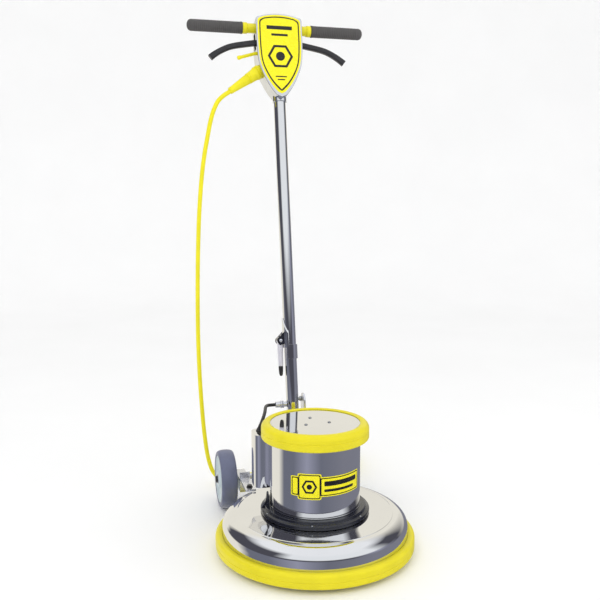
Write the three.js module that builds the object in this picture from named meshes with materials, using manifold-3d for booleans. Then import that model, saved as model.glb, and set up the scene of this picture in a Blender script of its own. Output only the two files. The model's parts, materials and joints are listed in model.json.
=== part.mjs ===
// Rotary floor machine, 17 inch class, with its handle raised and locked for storage.
// Millimetres. +Z is up, the front of the machine faces -Y, and the brush spins about the Z axis.
// Every sub-part is one closed solid in its own named mesh.
import * as THREE from "three";
import { mergeVertices } from "three/addons/utils/BufferGeometryUtils.js";
import Module from "manifold-3d";

const wasm = await Module();
wasm.setup();

const GAP = 0.3;
const FULL_TURN = 2 * Math.PI;
const ROUND_SIDES = 40;
const HIDDEN_SIDES = 24;
const WHEEL_SIDES = 32;
const SMALL_SIDES = 20;

// Materials

function finish(color, metalness, roughness) {
  return new THREE.MeshStandardMaterial({ color, metalness, roughness });
}

const chrome = finish(0xd8dade, 1, 0.06);
const satinSteel = finish(0xb8bbc0, 1, 0.3);
const castAluminium = finish(0xc6c8cc, 0.9, 0.35);
const darkSteel = finish(0x3b3d40, 0.9, 0.4);
const gearSteel = finish(0x8f9296, 1, 0.35);
const copperWire = finish(0xb06a3a, 0.8, 0.4);
const blackEnamel = finish(0x111214, 0.2, 0.2);
const yellowRubber = finish(0xefe41e, 0, 0.45);
const yellowPaint = finish(0xf2e51c, 0.1, 0.3);
const yellowLabel = finish(0xf4ea22, 0, 0.35);
const greyRubber = finish(0x5d5e60, 0, 0.7);
const tyreRubber = finish(0x6f7590, 0, 0.6);
const greyPlastic = finish(0xb9c2cc, 0, 0.45);
const blackPlastic = finish(0x1b1b1c, 0, 0.5);
const padFibre = finish(0x23211f, 0, 0.95);

// Solids

function toSolid(geometry) {
  const bare = new THREE.BufferGeometry();
  const source = geometry.index ? geometry.toNonIndexed() : geometry;
  bare.setAttribute("position", source.getAttribute("position"));
  const merged = mergeVertices(bare, 1e-3);
  const vertProperties = new Float32Array(merged.attributes.position.array);
  const triVerts = new Uint32Array(merged.index.array);
  return new wasm.Manifold(new wasm.Mesh({ numProp: 3, vertProperties, triVerts }));
}

function toGeometry(solid) {
  const mesh = solid.getMesh();
  const geometry = new THREE.BufferGeometry();
  geometry.setAttribute("position", new THREE.BufferAttribute(mesh.vertProperties, 3));
  geometry.setIndex(new THREE.BufferAttribute(mesh.triVerts, 1));
  geometry.computeVertexNormals();
  return geometry;
}

function join(first, ...others) {
  return toGeometry(others.reduce((sum, piece) => sum.add(toSolid(piece)), toSolid(first)));
}

function cut(body, ...tools) {
  return toGeometry(tools.reduce((rest, tool) => rest.subtract(toSolid(tool)), toSolid(body)));
}

// A closed outline of [radius, height] points turned about the Z axis.
function revolve(outline, sides = ROUND_SIDES) {
  const points = outline.map(([radius, height]) => new THREE.Vector2(radius, height));
  if (THREE.ShapeUtils.area(points) < 0) points.reverse();
  points.push(points[0].clone());
  return new THREE.LatheGeometry(points, sides).rotateX(Math.PI / 2);
}

function ring(inner, outer, bottom, top, sides = ROUND_SIDES) {
  return revolve([[inner, bottom], [outer, bottom], [outer, top], [inner, top]], sides);
}

// A stretch of an ellipse as outline points.
function curve(centreR, centreZ, radiusR, radiusZ, fromDegrees, toDegrees, steps = 5) {
  return Array.from({ length: steps + 1 }, (_, i) => {
    const angle = THREE.MathUtils.degToRad(fromDegrees + ((toDegrees - fromDegrees) * i) / steps);
    return [centreR + radiusR * Math.cos(angle), centreZ + radiusZ * Math.sin(angle)];
  });
}

// A round bar between two points.
function rod(from, to, radius, sides = SMALL_SIDES) {
  const start = new THREE.Vector3(...from);
  const along = new THREE.Vector3(...to).sub(start);
  const turn = new THREE.Quaternion().setFromUnitVectors(
    new THREE.Vector3(0, 1, 0), along.clone().normalize(),
  );
  return new THREE.CylinderGeometry(radius, radius, along.length(), sides)
    .applyQuaternion(turn)
    .translate(...start.addScaledVector(along, 0.5).toArray());
}

// A revolved outline of [radius, distance] points whose axis runs from a point along a direction.
function turned(outline, from, direction, sides = SMALL_SIDES) {
  const turn = new THREE.Quaternion().setFromUnitVectors(
    new THREE.Vector3(0, 0, 1), new THREE.Vector3(...direction).normalize(),
  );
  return revolve(outline, sides).applyQuaternion(turn).translate(...from);
}

function block(low, high) {
  const size = high.map((value, axis) => value - low[axis]);
  const middle = high.map((value, axis) => (value + low[axis]) / 2);
  return new THREE.BoxGeometry(...size).translate(...middle);
}

// An outline in the X-Z plane, given thickness from one Y to another.
function plateXZ(shape, fromY, toY) {
  const flat = new THREE.ExtrudeGeometry(shape, {
    depth: toY - fromY, bevelEnabled: false, curveSegments: 8,
  });
  return flat.rotateX(Math.PI / 2).translate(0, toY, 0);
}

// An outline in the Y-Z plane, given thickness from one X to another.
function plateYZ(shape, fromX, toX) {
  const flat = new THREE.ExtrudeGeometry(shape, {
    depth: toX - fromX, bevelEnabled: false, curveSegments: 8,
  });
  return flat.rotateX(Math.PI / 2).rotateZ(Math.PI / 2).translate(fromX, 0, 0);
}

function shapeOf(points) {
  return new THREE.Shape(points.map(([x, y]) => new THREE.Vector2(x, y)));
}

function circleOutline(radius, sides) {
  return shapeOf(Array.from({ length: sides }, (_, i) => {
    const angle = (FULL_TURN * i) / sides;
    return [radius * Math.cos(angle), radius * Math.sin(angle)];
  }));
}

// A round tube along a smooth curve through points.
function tubeAlong(points, radius, steps, sides) {
  const path = new THREE.CatmullRomCurve3(
    points.map((point) => new THREE.Vector3(...point)), false, "centripetal",
  );
  return new THREE.ExtrudeGeometry(circleOutline(radius, sides), {
    extrudePath: path, steps, bevelEnabled: false,
  });
}

const machine = new THREE.Group();

function add(name, geometry, material, parent = machine) {
  const mesh = new THREE.Mesh(geometry, material);
  mesh.name = name;
  parent.add(mesh);
  return mesh;
}

// Driving dimensions

const apron = { radius: 216.4, wall: 2.5, bottom: 20, rimTop: 60, shoulderRadius: 180, shoulderTop: 91,
  top: 93, hole: 97.5 };
const bumper = { radius: 232.5, bottom: 12, top: 46, lipRadius: 212, lowerRound: 6, upperRound: 9 };
const pad = { radius: 208, top: 22, chamfer: 3 };
const driver = { radius: 203, hole: 48, top: 44, chamfer: 8 };
const clutch = { radius: 62, top: 54 };
const gearcase = { flangeRadius: 127, tierRadius: 118, bodyRadius: 95, cavityRadius: 88, bottom: 60,
  floor: 65, flangeEdge: 99.5, flangeTop: 104, top: 110 };
const ear = { thickness: 16, bearing: -10 };
const cover = { radius: 105, wall: 2, top: 302, plateThickness: 2.7, ledgeReach: 7, ledgeThickness: 3 };
const upperBumper = { radius: 125, bottom: 268, top: 305.3, lowerRound: 4, upperRound: 14 };
const axleY = 290.5;
const axleZ = 77;
const axleRadius = 8;
const wheel = { radius: 76, width: 42, outerX: 187, hubRadius: 61 };
const handleLean = THREE.MathUtils.degToRad(10.23);
const handleFootY = 169.5;
const pivotAlong = 130;

// Pad, driver and apron

function addPadAndDriver() {
  add("floor_pad", revolve([
    [0, 0], [pad.radius, 0], [pad.radius, pad.top - pad.chamfer],
    [pad.radius - pad.chamfer, pad.top], [0, pad.top],
  ]), padFibre);
  add("pad_driver", revolve([
    [driver.hole, pad.top + GAP], [driver.radius, pad.top + GAP],
    [driver.radius, driver.top - driver.chamfer], [driver.radius - driver.chamfer, driver.top],
    [driver.hole, driver.top],
  ]), blackPlastic);
}

function shoulder(inset) {
  const reach = apron.radius - apron.shoulderRadius;
  return curve(apron.shoulderRadius, apron.rimTop, reach - inset,
    apron.shoulderTop - apron.rimTop - inset, 0, 90, 5);
}

function addApron() {
  const inner = shoulder(apron.wall).reverse();
  add("apron", revolve([
    [apron.radius, apron.bottom], ...shoulder(0), [apron.hole, apron.top],
    [apron.hole, apron.top - apron.wall], ...inner, [apron.radius - apron.wall, apron.bottom],
  ]), chrome);
  const seat = apron.radius + GAP;
  const { radius, bottom, top, lipRadius, lowerRound, upperRound } = bumper;
  add("lower_bumper", revolve([
    [lipRadius, bottom],
    ...curve(radius - lowerRound, bottom + lowerRound, lowerRound, lowerRound, -90, 0, 3),
    ...curve(radius - upperRound, top - upperRound, upperRound, upperRound, 0, 80, 4),
    [seat, top], [seat, apron.bottom - GAP], [lipRadius, apron.bottom - GAP],
  ]), yellowRubber);
}

// Planetary gears: the ring is fixed in the case, the sun is cut on the motor shaft.

const gear = { module: 2, sunTeeth: 9, planetTeeth: 36, ringTeeth: 81, bottom: 73, top: 85,
  addendum: 1.3, dedendum: 1.9 };
const planetOrbit = (gear.module * (gear.sunTeeth + gear.planetTeeth)) / 2;
const planetAngles = [90, 210, 330].map(THREE.MathUtils.degToRad);
const carrier = { bottom: 45, coreRadius: 18, neckRadius: 20, discRadius: 60, discBottom: 66, discTop: 72,
  pinRadius: 8, pinTop: 87 };
const outputBearingRadius = 30;

function toothedCircle(teeth, rootRadius, tipRadius, phase) {
  const pitchAngle = FULL_TURN / teeth;
  const rootHalf = 0.27 * pitchAngle;
  const tipHalf = 0.11 * pitchAngle;
  const points = [];
  for (let tooth = 0; tooth < teeth; tooth += 1) {
    const middle = phase + tooth * pitchAngle;
    for (const [radius, offset] of [
      [rootRadius, -rootHalf], [tipRadius, -tipHalf], [tipRadius, tipHalf], [rootRadius, rootHalf],
    ]) {
      points.push([radius * Math.cos(middle + offset), radius * Math.sin(middle + offset)]);
    }
  }
  return points;
}

function gearPlate(points, bottom, top, holes = []) {
  const shape = shapeOf(points);
  shape.holes.push(...holes);
  return new THREE.ExtrudeGeometry(shape, { depth: top - bottom, bevelEnabled: false })
    .translate(0, 0, bottom);
}

// The turn that puts a planet's gap opposite a tooth of the sun, whose first tooth points along X.
function planetPhase(angle) {
  const sunTurns = (angle * gear.sunTeeth) / FULL_TURN;
  return angle + Math.PI - ((0.5 - sunTurns) * FULL_TURN) / gear.planetTeeth;
}

// The turn that puts a gap of the ring opposite a tooth of the first planet.
function ringPhase() {
  const [angle] = planetAngles;
  const planetTurns = ((angle - planetPhase(angle)) * gear.planetTeeth) / FULL_TURN;
  return angle - ((planetTurns - 0.5) * FULL_TURN) / gear.ringTeeth;
}

function addGears() {
  const ringPitch = (gear.module * gear.ringTeeth) / 2;
  const planetPitch = (gear.module * gear.planetTeeth) / 2;
  const ringTeeth = toothedCircle(
    gear.ringTeeth, ringPitch + gear.dedendum, ringPitch - gear.addendum, ringPhase(),
  );
  const rim = circleOutline(gearcase.cavityRadius - GAP, ROUND_SIDES).getPoints();
  add("ring_gear", gearPlate(rim.map(({ x, y }) => [x, y]), gear.bottom, gear.top,
    [shapeOf(ringTeeth)]), gearSteel);
  planetAngles.forEach((angle, index) => {
    const outline = toothedCircle(
      gear.planetTeeth, planetPitch - gear.dedendum, planetPitch + gear.addendum, planetPhase(angle),
    );
    const bore = circleOutline(carrier.pinRadius + GAP, SMALL_SIDES);
    const planet = add(`planet_gear_${index + 1}`,
      gearPlate(outline, gear.bottom, gear.top, [bore]), gearSteel);
    planet.position.set(planetOrbit * Math.cos(angle), planetOrbit * Math.sin(angle), 0);
  });
  const pins = planetAngles.map((angle) => {
    const x = planetOrbit * Math.cos(angle);
    const y = planetOrbit * Math.sin(angle);
    return rod([x, y, carrier.discBottom + 2], [x, y, carrier.pinTop], carrier.pinRadius);
  });
  const { bottom, coreRadius, neckRadius, discRadius, discBottom, discTop } = carrier;
  const carrierBody = revolve([
    [0, bottom], [coreRadius, bottom], [coreRadius, clutch.top + 1], [neckRadius, clutch.top + 1],
    [neckRadius, discBottom], [discRadius, discBottom], [discRadius, discTop], [0, discTop],
  ], HIDDEN_SIDES);
  add("planet_carrier", join(carrierBody, ...pins), gearSteel);
  add("output_bearing", ring(neckRadius + GAP, outputBearingRadius - GAP, gearcase.bottom + GAP,
    gearcase.floor, HIDDEN_SIDES), satinSteel);
  add("clutch_plate", ring(coreRadius + GAP, clutch.radius, driver.top + GAP, clutch.top, HIDDEN_SIDES),
    castAluminium);
}

// Gear case with its two-step flange and the ear that carries the capacitor cover

function addGearcase() {
  const { flangeRadius, tierRadius, bodyRadius, cavityRadius, bottom, floor, top } = gearcase;
  const casting = revolve([
    [outputBearingRadius, bottom], [bodyRadius - 5, bottom], [bodyRadius, bottom + 5],
    [bodyRadius, apron.top + GAP], [flangeRadius - 1.5, apron.top + GAP],
    [flangeRadius, apron.top + 2], [flangeRadius, gearcase.flangeEdge],
    [flangeRadius - 2.5, gearcase.flangeTop - 1.5], [tierRadius, gearcase.flangeTop],
    [tierRadius, top - 1.5], [tierRadius - 2, top], [cavityRadius, top], [cavityRadius, floor],
    [outputBearingRadius, floor],
  ]);
  const earOutline = shapeOf([
    [-126, 99], [-123.5, 105], [-118, 113], [-114.5, 123], [-112.5, 136], [-108.5, 136], [-106.5, 123],
    [-106, 103], [-112, 99],
  ]);
  const earPlate = plateXZ(earOutline, -ear.thickness / 2, ear.thickness / 2)
    .rotateZ(THREE.MathUtils.degToRad(ear.bearing));
  add("gearcase", join(casting, earPlate), blackEnamel);
}

// Motor

const motor = { shaftRadius: 9, shaftTop: 276, sunTop: 90, rotorRadius: 55, rotorBottom: 148, rotorTop: 227,
  boreRadius: 57, coreBottom: 150, coreTop: 225, windingInner: 62, windingOuter: 92, windingBottom: 130,
  windingTop: 245, bearingRadius: 20, bellThickness: 9.5, bellBottoms: { lower: 111.5, upper: 257 } };

function addMotorCasing() {
  const { radius, wall, top, plateThickness, ledgeReach, ledgeThickness } = cover;
  const inside = radius - wall;
  const plateBottom = top - plateThickness;
  add("motor_cover", revolve([
    [inside, gearcase.top + GAP], [radius, gearcase.top + GAP], [radius, top], [inside, top],
    [inside, plateBottom - GAP], [inside - ledgeReach, plateBottom - GAP],
    [inside - ledgeReach, plateBottom - ledgeThickness], [inside, plateBottom - ledgeThickness],
  ]), chrome);
  add("motor_top_plate", revolve([
    [0, plateBottom], [inside - GAP, plateBottom], [inside - GAP, top], [0, top + GAP],
  ]), chrome);
  const seat = radius + GAP;
  const { bottom, lowerRound, upperRound } = upperBumper;
  const lowerCentre = upperBumper.radius - lowerRound;
  add("upper_bumper", revolve([
    [seat, bottom], [lowerCentre, bottom],
    ...curve(lowerCentre, bottom + lowerRound, lowerRound, lowerRound, -60, 0, 2),
    ...curve(upperBumper.radius - upperRound, upperBumper.top - upperRound, upperRound, upperRound, 0, 90, 5),
    [radius + 1, upperBumper.top - 0.6], [radius - 1, top + 2 * GAP], [seat, top + GAP],
  ]), yellowRubber);
}

function addMotorInside() {
  const { shaftRadius, boreRadius, coreBottom, coreTop, windingInner, windingOuter } = motor;
  add("motor_shaft", join(
    gearPlate(toothedCircle(gear.sunTeeth, shaftRadius - gear.dedendum, shaftRadius + gear.addendum, 0),
      gear.bottom, motor.sunTop),
    rod([0, 0, motor.sunTop - 1], [0, 0, motor.shaftTop], shaftRadius),
  ), gearSteel);
  const core = cover.radius - 2 * cover.wall;
  add("motor_rotor", ring(shaftRadius + GAP, motor.rotorRadius, motor.rotorBottom, motor.rotorTop,
    HIDDEN_SIDES), gearSteel);
  add("motor_stator", revolve([
    [boreRadius, coreBottom], [windingInner, coreBottom], [windingInner, motor.windingBottom],
    [windingOuter, motor.windingBottom], [windingOuter, coreBottom], [core, coreBottom], [core, coreTop],
    [windingOuter, coreTop], [windingOuter, motor.windingTop], [windingInner, motor.windingTop],
    [windingInner, coreTop], [boreRadius, coreTop],
  ], HIDDEN_SIDES), copperWire);
  for (const [name, bottom] of Object.entries(motor.bellBottoms)) {
    const top = bottom + motor.bellThickness;
    add(`end_bell_${name}`, ring(motor.bearingRadius + GAP, core, bottom, top, HIDDEN_SIDES),
      castAluminium);
    add(`motor_bearing_${name}`, ring(shaftRadius + GAP, motor.bearingRadius, bottom + 0.5, top - 0.5,
      HIDDEN_SIDES), satinSteel);
  }
}

// A flat patch bent round the motor cover, centred on an angle from the front.
function bentPatch(centreDegrees, spanDegrees, lowZ, highZ, innerRadius, outerRadius) {
  const steps = Math.ceil(spanDegrees / 6);
  const patch = new THREE.BoxGeometry(spanDegrees, outerRadius - innerRadius, highZ - lowZ, steps, 1, 1);
  const places = patch.getAttribute("position");
  for (let i = 0; i < places.count; i += 1) {
    const angle = THREE.MathUtils.degToRad(places.getX(i) + centreDegrees);
    const radius = (innerRadius + outerRadius) / 2 - places.getY(i);
    places.setXYZ(i, radius * Math.sin(angle), -radius * Math.cos(angle),
      places.getZ(i) + (lowZ + highZ) / 2);
  }
  return patch;
}

const badge = {
  ribbon: { centre: 1, span: 98, bottom: 163, top: 208, thickness: 0.8 },
  square: { centre: -23, span: 29, bottom: 156, top: 215, thickness: 1.3 },
};

function addBadge() {
  const inner = cover.radius + GAP;
  const [ribbon, square] = [badge.ribbon, badge.square].map(
    ({ centre, span, bottom, top, thickness }) => (
      bentPatch(centre, span, bottom, top, inner, inner + thickness)),
  );
  add("motor_badge", join(ribbon, square), yellowLabel);
}

// Capacitor in its cover on the motor's left side, toward the back

const capacitorBox = { left: -134, right: -58, front: 40, back: 100, bottom: 139, top: 266, corner: 9,
  wall: 2 };
const capacitor = { x: -114.5, y: 68, radius: 15.5, bottom: 149, top: 237 };

function roundedRectangle(left, right, low, high, corner) {
  const shape = new THREE.Shape();
  shape.moveTo(right, low);
  shape.lineTo(right, high);
  shape.lineTo(left + corner, high);
  shape.absarc(left + corner, high - corner, corner, Math.PI / 2, Math.PI, false);
  shape.absarc(left + corner, low + corner, corner, Math.PI, 1.5 * Math.PI, false);
  return shape;
}

function addCapacitor() {
  const { left, right, front, back, bottom, top, corner, wall } = capacitorBox;
  const outer = new THREE.ExtrudeGeometry(roundedRectangle(left, right, front, back, corner), {
    depth: top - bottom, bevelEnabled: false, curveSegments: 4,
  }).translate(0, 0, bottom);
  const inner = new THREE.ExtrudeGeometry(
    roundedRectangle(left + wall, right + 1, front + wall, back - wall, corner - wall),
    { depth: top - bottom - 2 * wall, bevelEnabled: false, curveSegments: 4 },
  ).translate(0, 0, bottom + wall);
  const motorSide = rod([0, 0, bottom - 1], [0, 0, top + 1], cover.radius + GAP, ROUND_SIDES);
  add("capacitor_cover", cut(outer, inner, motorSide), chrome);
  const { x, y, radius } = capacitor;
  add("start_capacitor", rod([x, y, capacitor.bottom], [x, y, capacitor.top], radius), blackPlastic);
}

// Truck: yoke bracket, axle, axle brackets and wheels

const yoke = { inner: 23.5, outer: 28.5, boltRadius: 6, boltHeadRadius: 9.5, boltHeadEnd: 34.5,
  plateBack: 176, plateThickness: 4 };
const axleCap = { radius: 13, height: 7 };
const axleBracket = { inner: 113, outer: 139, front: 142, bend: 226, back: 231, footThickness: 4.5,
  webBottom: 60, webTop: 113, armFront: 229, armBack: 306, armBottom: 60, armTop: 94 };

function handlePoint(along) {
  return [handleFootY + along * Math.sin(handleLean), along * Math.cos(handleLean)];
}

function addTruck() {
  const [pivotY, pivotZ] = handlePoint(pivotAlong);
  const floor = apron.top + GAP;
  const low = [[130, floor], [206, floor], [238, 66], [276, 60], [302, 60], [309, 70], [309, 86],
    [298, 97], [240, 134]];
  const leftSide = shapeOf([...low, [205, 158], [180, 158], [166, 146], [130, 106]]);
  const rightSide = shapeOf([
    ...low, [228, 160], [228, 240], [229, 301], ...curve(212, 301, 17, 17, 30, 150, 4),
    [195, 301], [184, 230], [166, 146], [130, 106],
  ]);
  const { inner, outer, boltRadius, boltHeadRadius, boltHeadEnd, plateBack, plateThickness } = yoke;
  const through = outer + 10;
  const boltHole = rod([-through, pivotY, pivotZ], [through, pivotY, pivotZ], boltRadius + GAP);
  const axleHole = rod([-through, axleY, axleZ], [through, axleY, axleZ], axleRadius + GAP);
  add("yoke_bracket", cut(
    join(plateYZ(leftSide, -outer, -inner), plateYZ(rightSide, inner, outer),
      block([-outer, 130, floor], [outer, plateBack, floor + plateThickness])),
    boltHole, axleHole,
  ), satinSteel);
  const headStart = outer + GAP;
  add("pivot_bolt", turned([
    [0, -boltHeadEnd], [boltHeadRadius, -boltHeadEnd], [boltHeadRadius, -headStart],
    [boltRadius, -headStart], [boltRadius, headStart], [boltHeadRadius, headStart],
    [boltHeadRadius, boltHeadEnd], [0, boltHeadEnd],
  ], [0, pivotY, pivotZ], [1, 0, 0], 12), satinSteel);
  const capStart = wheel.outerX + GAP;
  const { radius, height } = axleCap;
  const rightCap = [
    [radius, capStart], [radius, capStart + 2], [radius - 4, capStart + height - 0.5],
    [0, capStart + height],
  ];
  const leftCap = rightCap.map(([reach, x]) => [reach, -x]).reverse();
  add("axle", turned([
    ...leftCap, [axleRadius, -capStart], [axleRadius, capStart], ...rightCap,
  ], [0, axleY, axleZ], [1, 0, 0]), satinSteel);
}

function addAxleBracket(side, name) {
  const { inner, outer, front, bend, back } = axleBracket;
  const [low, high] = side < 0 ? [-outer, -inner] : [inner, outer];
  const floor = apron.top + GAP;
  const bracket = cut(
    join(
      block([low, front, floor], [high, back, floor + axleBracket.footThickness]),
      block([low, bend, axleBracket.webBottom], [high, back, axleBracket.webTop]),
      block([low, axleBracket.armFront, axleBracket.armBottom],
        [high, axleBracket.armBack, axleBracket.armTop]),
    ),
    rod([low - 10, axleY, axleZ], [high + 10, axleY, axleZ], axleRadius + GAP),
  );
  add(`axle_bracket_${name}`, bracket, chrome);
}

function addWheel(side, name) {
  const outer = wheel.outerX;
  const inner = outer - wheel.width;
  const centre = [0, axleY, axleZ];
  const alongX = [side, 0, 0];
  const { radius, hubRadius } = wheel;
  add(`wheel_hub_${name}`, turned([
    [axleRadius + GAP, inner + 1], [20, inner + 1], [22, inner + 6], [hubRadius, inner + 3],
    [hubRadius, outer - 2], [hubRadius - 7, outer - 5], [22, outer - 5], [20, outer],
    [axleRadius + GAP, outer],
  ], centre, alongX, WHEEL_SIDES), greyPlastic);
  add(`tyre_${name}`, turned([
    [hubRadius + GAP, inner + 1], [radius - 5, inner], ...curve(radius - 5, inner + 5, 5, 5, -60, 0, 2),
    ...curve(radius - 5, outer - 5, 5, 5, 0, 60, 2), [radius - 5, outer], [hubRadius + GAP, outer - 1],
  ], centre, alongX, WHEEL_SIDES), tyreRubber);
}

// Handle: its pieces are drawn along the tube, in a group that is then leaned back.

const handle = new THREE.Group();
handle.position.y = handleFootY;
handle.rotation.x = -handleLean;
machine.add(handle);

const tube = { radius: 15.875, wall: 2, bottom: 150, top: 1170 };
const foot = { radius: 20, bottom: 112, socketTop: 200, eyeRadius: 14 };
const plunger = { along: 305, radius: 4, knobRadius: 6.5, knobStart: 19, end: 23.2 };
const grip = { along: 1284, radius: 15, barRadius: 12.7, start: 93, end: 238 };

function addHandleTube() {
  const boltHole = rod([-foot.radius - 10, 0, pivotAlong], [foot.radius + 10, 0, pivotAlong],
    yoke.boltRadius + GAP);
  const eyeEnd = yoke.inner - 0.5;
  const casting = join(
    rod([0, 0, foot.bottom], [0, 0, tube.bottom - 0.5], foot.radius, HIDDEN_SIDES),
    ring(tube.radius + 0.5, foot.radius, tube.bottom - 1, foot.socketTop, HIDDEN_SIDES),
    rod([-eyeEnd, 0, pivotAlong], [eyeEnd, 0, pivotAlong], foot.eyeRadius, 16),
  );
  add("handle_foot", cut(casting, boltHole), castAluminium, handle);
  const { along, radius, knobRadius, knobStart, end } = plunger;
  const plungerHole = rod([tube.radius / 2, 0, along], [tube.radius + 4, 0, along], radius + 0.5);
  add("handle_tube", cut(
    ring(tube.radius - tube.wall, tube.radius, tube.bottom, tube.top, 32), plungerHole,
  ), chrome, handle);
  add("lock_plunger", turned([
    [0, 2], [radius, 2], [radius, knobStart], [knobRadius, knobStart], [knobRadius, end], [0, end],
  ], [0, 0, along], [1, 0, 0]), darkSteel, handle);
}

// The lever on the tube's left side that draws the lock plunger back

const release = { pivotX: -26.8, pivotAlong: 458, hubRadius: 7.5, hubHalf: 8.3, armRadius: 7.6, armEnd: 392,
  pinRadius: 2.5, pinHalf: 13.5, tipLength: 26 };
const collar = { bottom: 410, middle: 447, top: 516, thickness: 2.6, earInner: 9.3, earOuter: 12.3 };

// A band round the tube, cut back on the right and tapered at its top, with two ears for the lever's pin
function releaseBracket(pin) {
  const { pivotX, pivotAlong: along } = release;
  const skin = tube.radius + GAP;
  const taper = (side) => new THREE.BoxGeometry(30, 60, 60).rotateX(0.35 * side)
    .translate(-20, 36 * side, collar.top - 4);
  const band = cut(
    ring(skin, skin + collar.thickness, collar.bottom, collar.top, 32),
    block([-6, -30, collar.middle], [30, 30, collar.top + 1]),
    block([-30, -30, collar.bottom - 1], [-13, 30, collar.middle - 8]),
    taper(1), taper(-1),
  );
  const earShape = shapeOf([
    [-14, along - 8], [pivotX - 3, along - 12], ...curve(pivotX, along, 9, 9, 225, 110, 4), [-14, along + 24],
  ]);
  return join(band, plateXZ(earShape, -collar.earOuter, -collar.earInner),
    plateXZ(earShape, collar.earInner, collar.earOuter), pin);
}

function addReleaseLever() {
  const { pivotX, pivotAlong: along, hubHalf, hubRadius, pinRadius, pinHalf, armRadius, armEnd } = release;
  const pin = rod([pivotX, -pinHalf, along], [pivotX, pinHalf, along], pinRadius, 12);
  add("release_bracket", releaseBracket(pin), satinSteel, handle);
  const arm = cut(
    join(
      rod([pivotX, -hubHalf, along], [pivotX, hubHalf, along], hubRadius),
      rod([pivotX, 0, armEnd], [pivotX, 0, along - 4], armRadius),
    ),
    rod([pivotX, -pinHalf, along], [pivotX, pinHalf, along], pinRadius + GAP, 12),
  );
  add("release_lever", arm, satinSteel, handle);
  const { tipLength } = release;
  add("release_lever_tip", turned([
    [0, -tipLength], [3, 0.5 - tipLength], [4.8, 4 - tipLength], [6, -4], [6, -GAP], [0, -GAP],
  ], [pivotX, 0, armEnd], [0, 0, 1]), blackPlastic, handle);
}

// Switch housing at the top of the tube

const head = { front: 29, back: -21, wall: 3, corner: 1303, crown: 1314, crownHalf: 34, tip: 1092,
  half: 61, neckRadius: 18.6, neckBottom: 1087, neckTop: 1124, bossRadius: 18 };
const facePlate = { thickness: 3, labelInset: 5, labelThickness: 0.6 };
const leverSlot = { half: 70, front: -17, back: 5, bottom: 1222, top: 1266 };
const switchPlate = { half: 53, front: 12, back: 14.5, bottom: 1184, top: 1262 };
const powerSwitch = { half: 14, front: -12, bottom: 1196, top: 1232 };

// Half-widths of the housing seen from the front, from the corner down to the tip.
const headFlank = [[61, 1303], [61.5, 1262], [61, 1225], [57, 1182], [46, 1150], [29, 1118], [14, 1098]];

function headOutline(inset) {
  const flank = new THREE.SplineCurve(
    headFlank.map(([half, along]) => new THREE.Vector2(half - inset, along)),
  ).getPoints(9);
  const crown = [head.crownHalf, 0, -head.crownHalf].map((x) => new THREE.Vector2(
    x, head.crown - inset - ((head.crown - head.corner) * x * x) / head.half ** 2,
  ));
  const right = flank.map(({ x, y }) => [x, y - (y > head.corner - 1 ? inset : 0)]);
  const left = right.map(([x, along]) => [-x, along]);
  const tip = head.tip + inset * 1.4;
  return shapeOf([...right, [0, tip], ...left.reverse(), ...crown.reverse().map(({ x, y }) => [x, y])]);
}

const exit = { x: -50, along: 1170, slope: THREE.MathUtils.degToRad(34.8) };
const exitDirection = [-Math.cos(exit.slope), 0, -Math.sin(exit.slope)];

function exitPoint(distance) {
  return [exit.x + exitDirection[0] * distance, 0, exit.along + exitDirection[2] * distance];
}

const glandRadius = 8.3;
const lever = { pivotX: 46, pivotAlong: 1243, height: 15, pinRadius: 3, eyeRadius: 9, front: -13, back: -1 };
const lockPin = { from: [-44, -8, 1219], direction: [-0.957, 0, -0.29], length: 69, radius: 4.3 };

function lockPinPoint(distance) {
  return lockPin.from.map((value, axis) => value + lockPin.direction[axis] * distance);
}

function addSwitchHousing() {
  const shell = plateXZ(headOutline(0), -head.front, -head.back);
  const hollow = plateXZ(headOutline(head.wall), -head.front - 1, -head.back - head.wall);
  const neck = rod([0, 0, head.neckBottom], [0, 0, head.neckTop], head.neckRadius, 32);
  const boss = rod(exitPoint(-2), exitPoint(9), head.bossRadius, 24);
  const across = head.half + 20;
  const body = cut(
    join(cut(shell, hollow), neck, boss),
    rod([0, 0, head.neckBottom - 4], [0, 0, tube.top - 10], tube.radius + GAP, 32),
    rod([-across, 0, grip.along], [across, 0, grip.along], grip.barRadius + GAP, 32),
    rod(exitPoint(-40), exitPoint(20), glandRadius + GAP),
    block([-leverSlot.half, leverSlot.front, leverSlot.bottom],
      [leverSlot.half, leverSlot.back, leverSlot.top]),
    rod(lockPinPoint(-5), lockPinPoint(30), lockPin.radius + 2 * GAP),
  );
  add("switch_housing", body, castAluminium, handle);
}

function addSwitchHousingFront() {
  const plateFront = head.front + GAP + facePlate.thickness;
  const labelFront = plateFront + GAP + facePlate.labelThickness;
  add("switch_cover_plate", plateXZ(headOutline(0), -plateFront, -head.front - GAP),
    castAluminium, handle);
  add("face_label", plateXZ(headOutline(facePlate.labelInset), -labelFront, -plateFront - GAP),
    yellowLabel, handle);
}

function addSwitch() {
  const { half, front, back, bottom, top } = switchPlate;
  const leverPins = [-lever.pivotX, lever.pivotX].map(
    (x) => rod([x, -18, lever.pivotAlong], [x, front + 1, lever.pivotAlong], lever.pinRadius, 12),
  );
  add("switch_plate", join(block([-half, front, bottom], [half, back, top]), ...leverPins),
    satinSteel, handle);
  add("power_switch", block([-powerSwitch.half, powerSwitch.front, powerSwitch.bottom],
    [powerSwitch.half, front - GAP, powerSwitch.top]), blackPlastic, handle);
}

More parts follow.
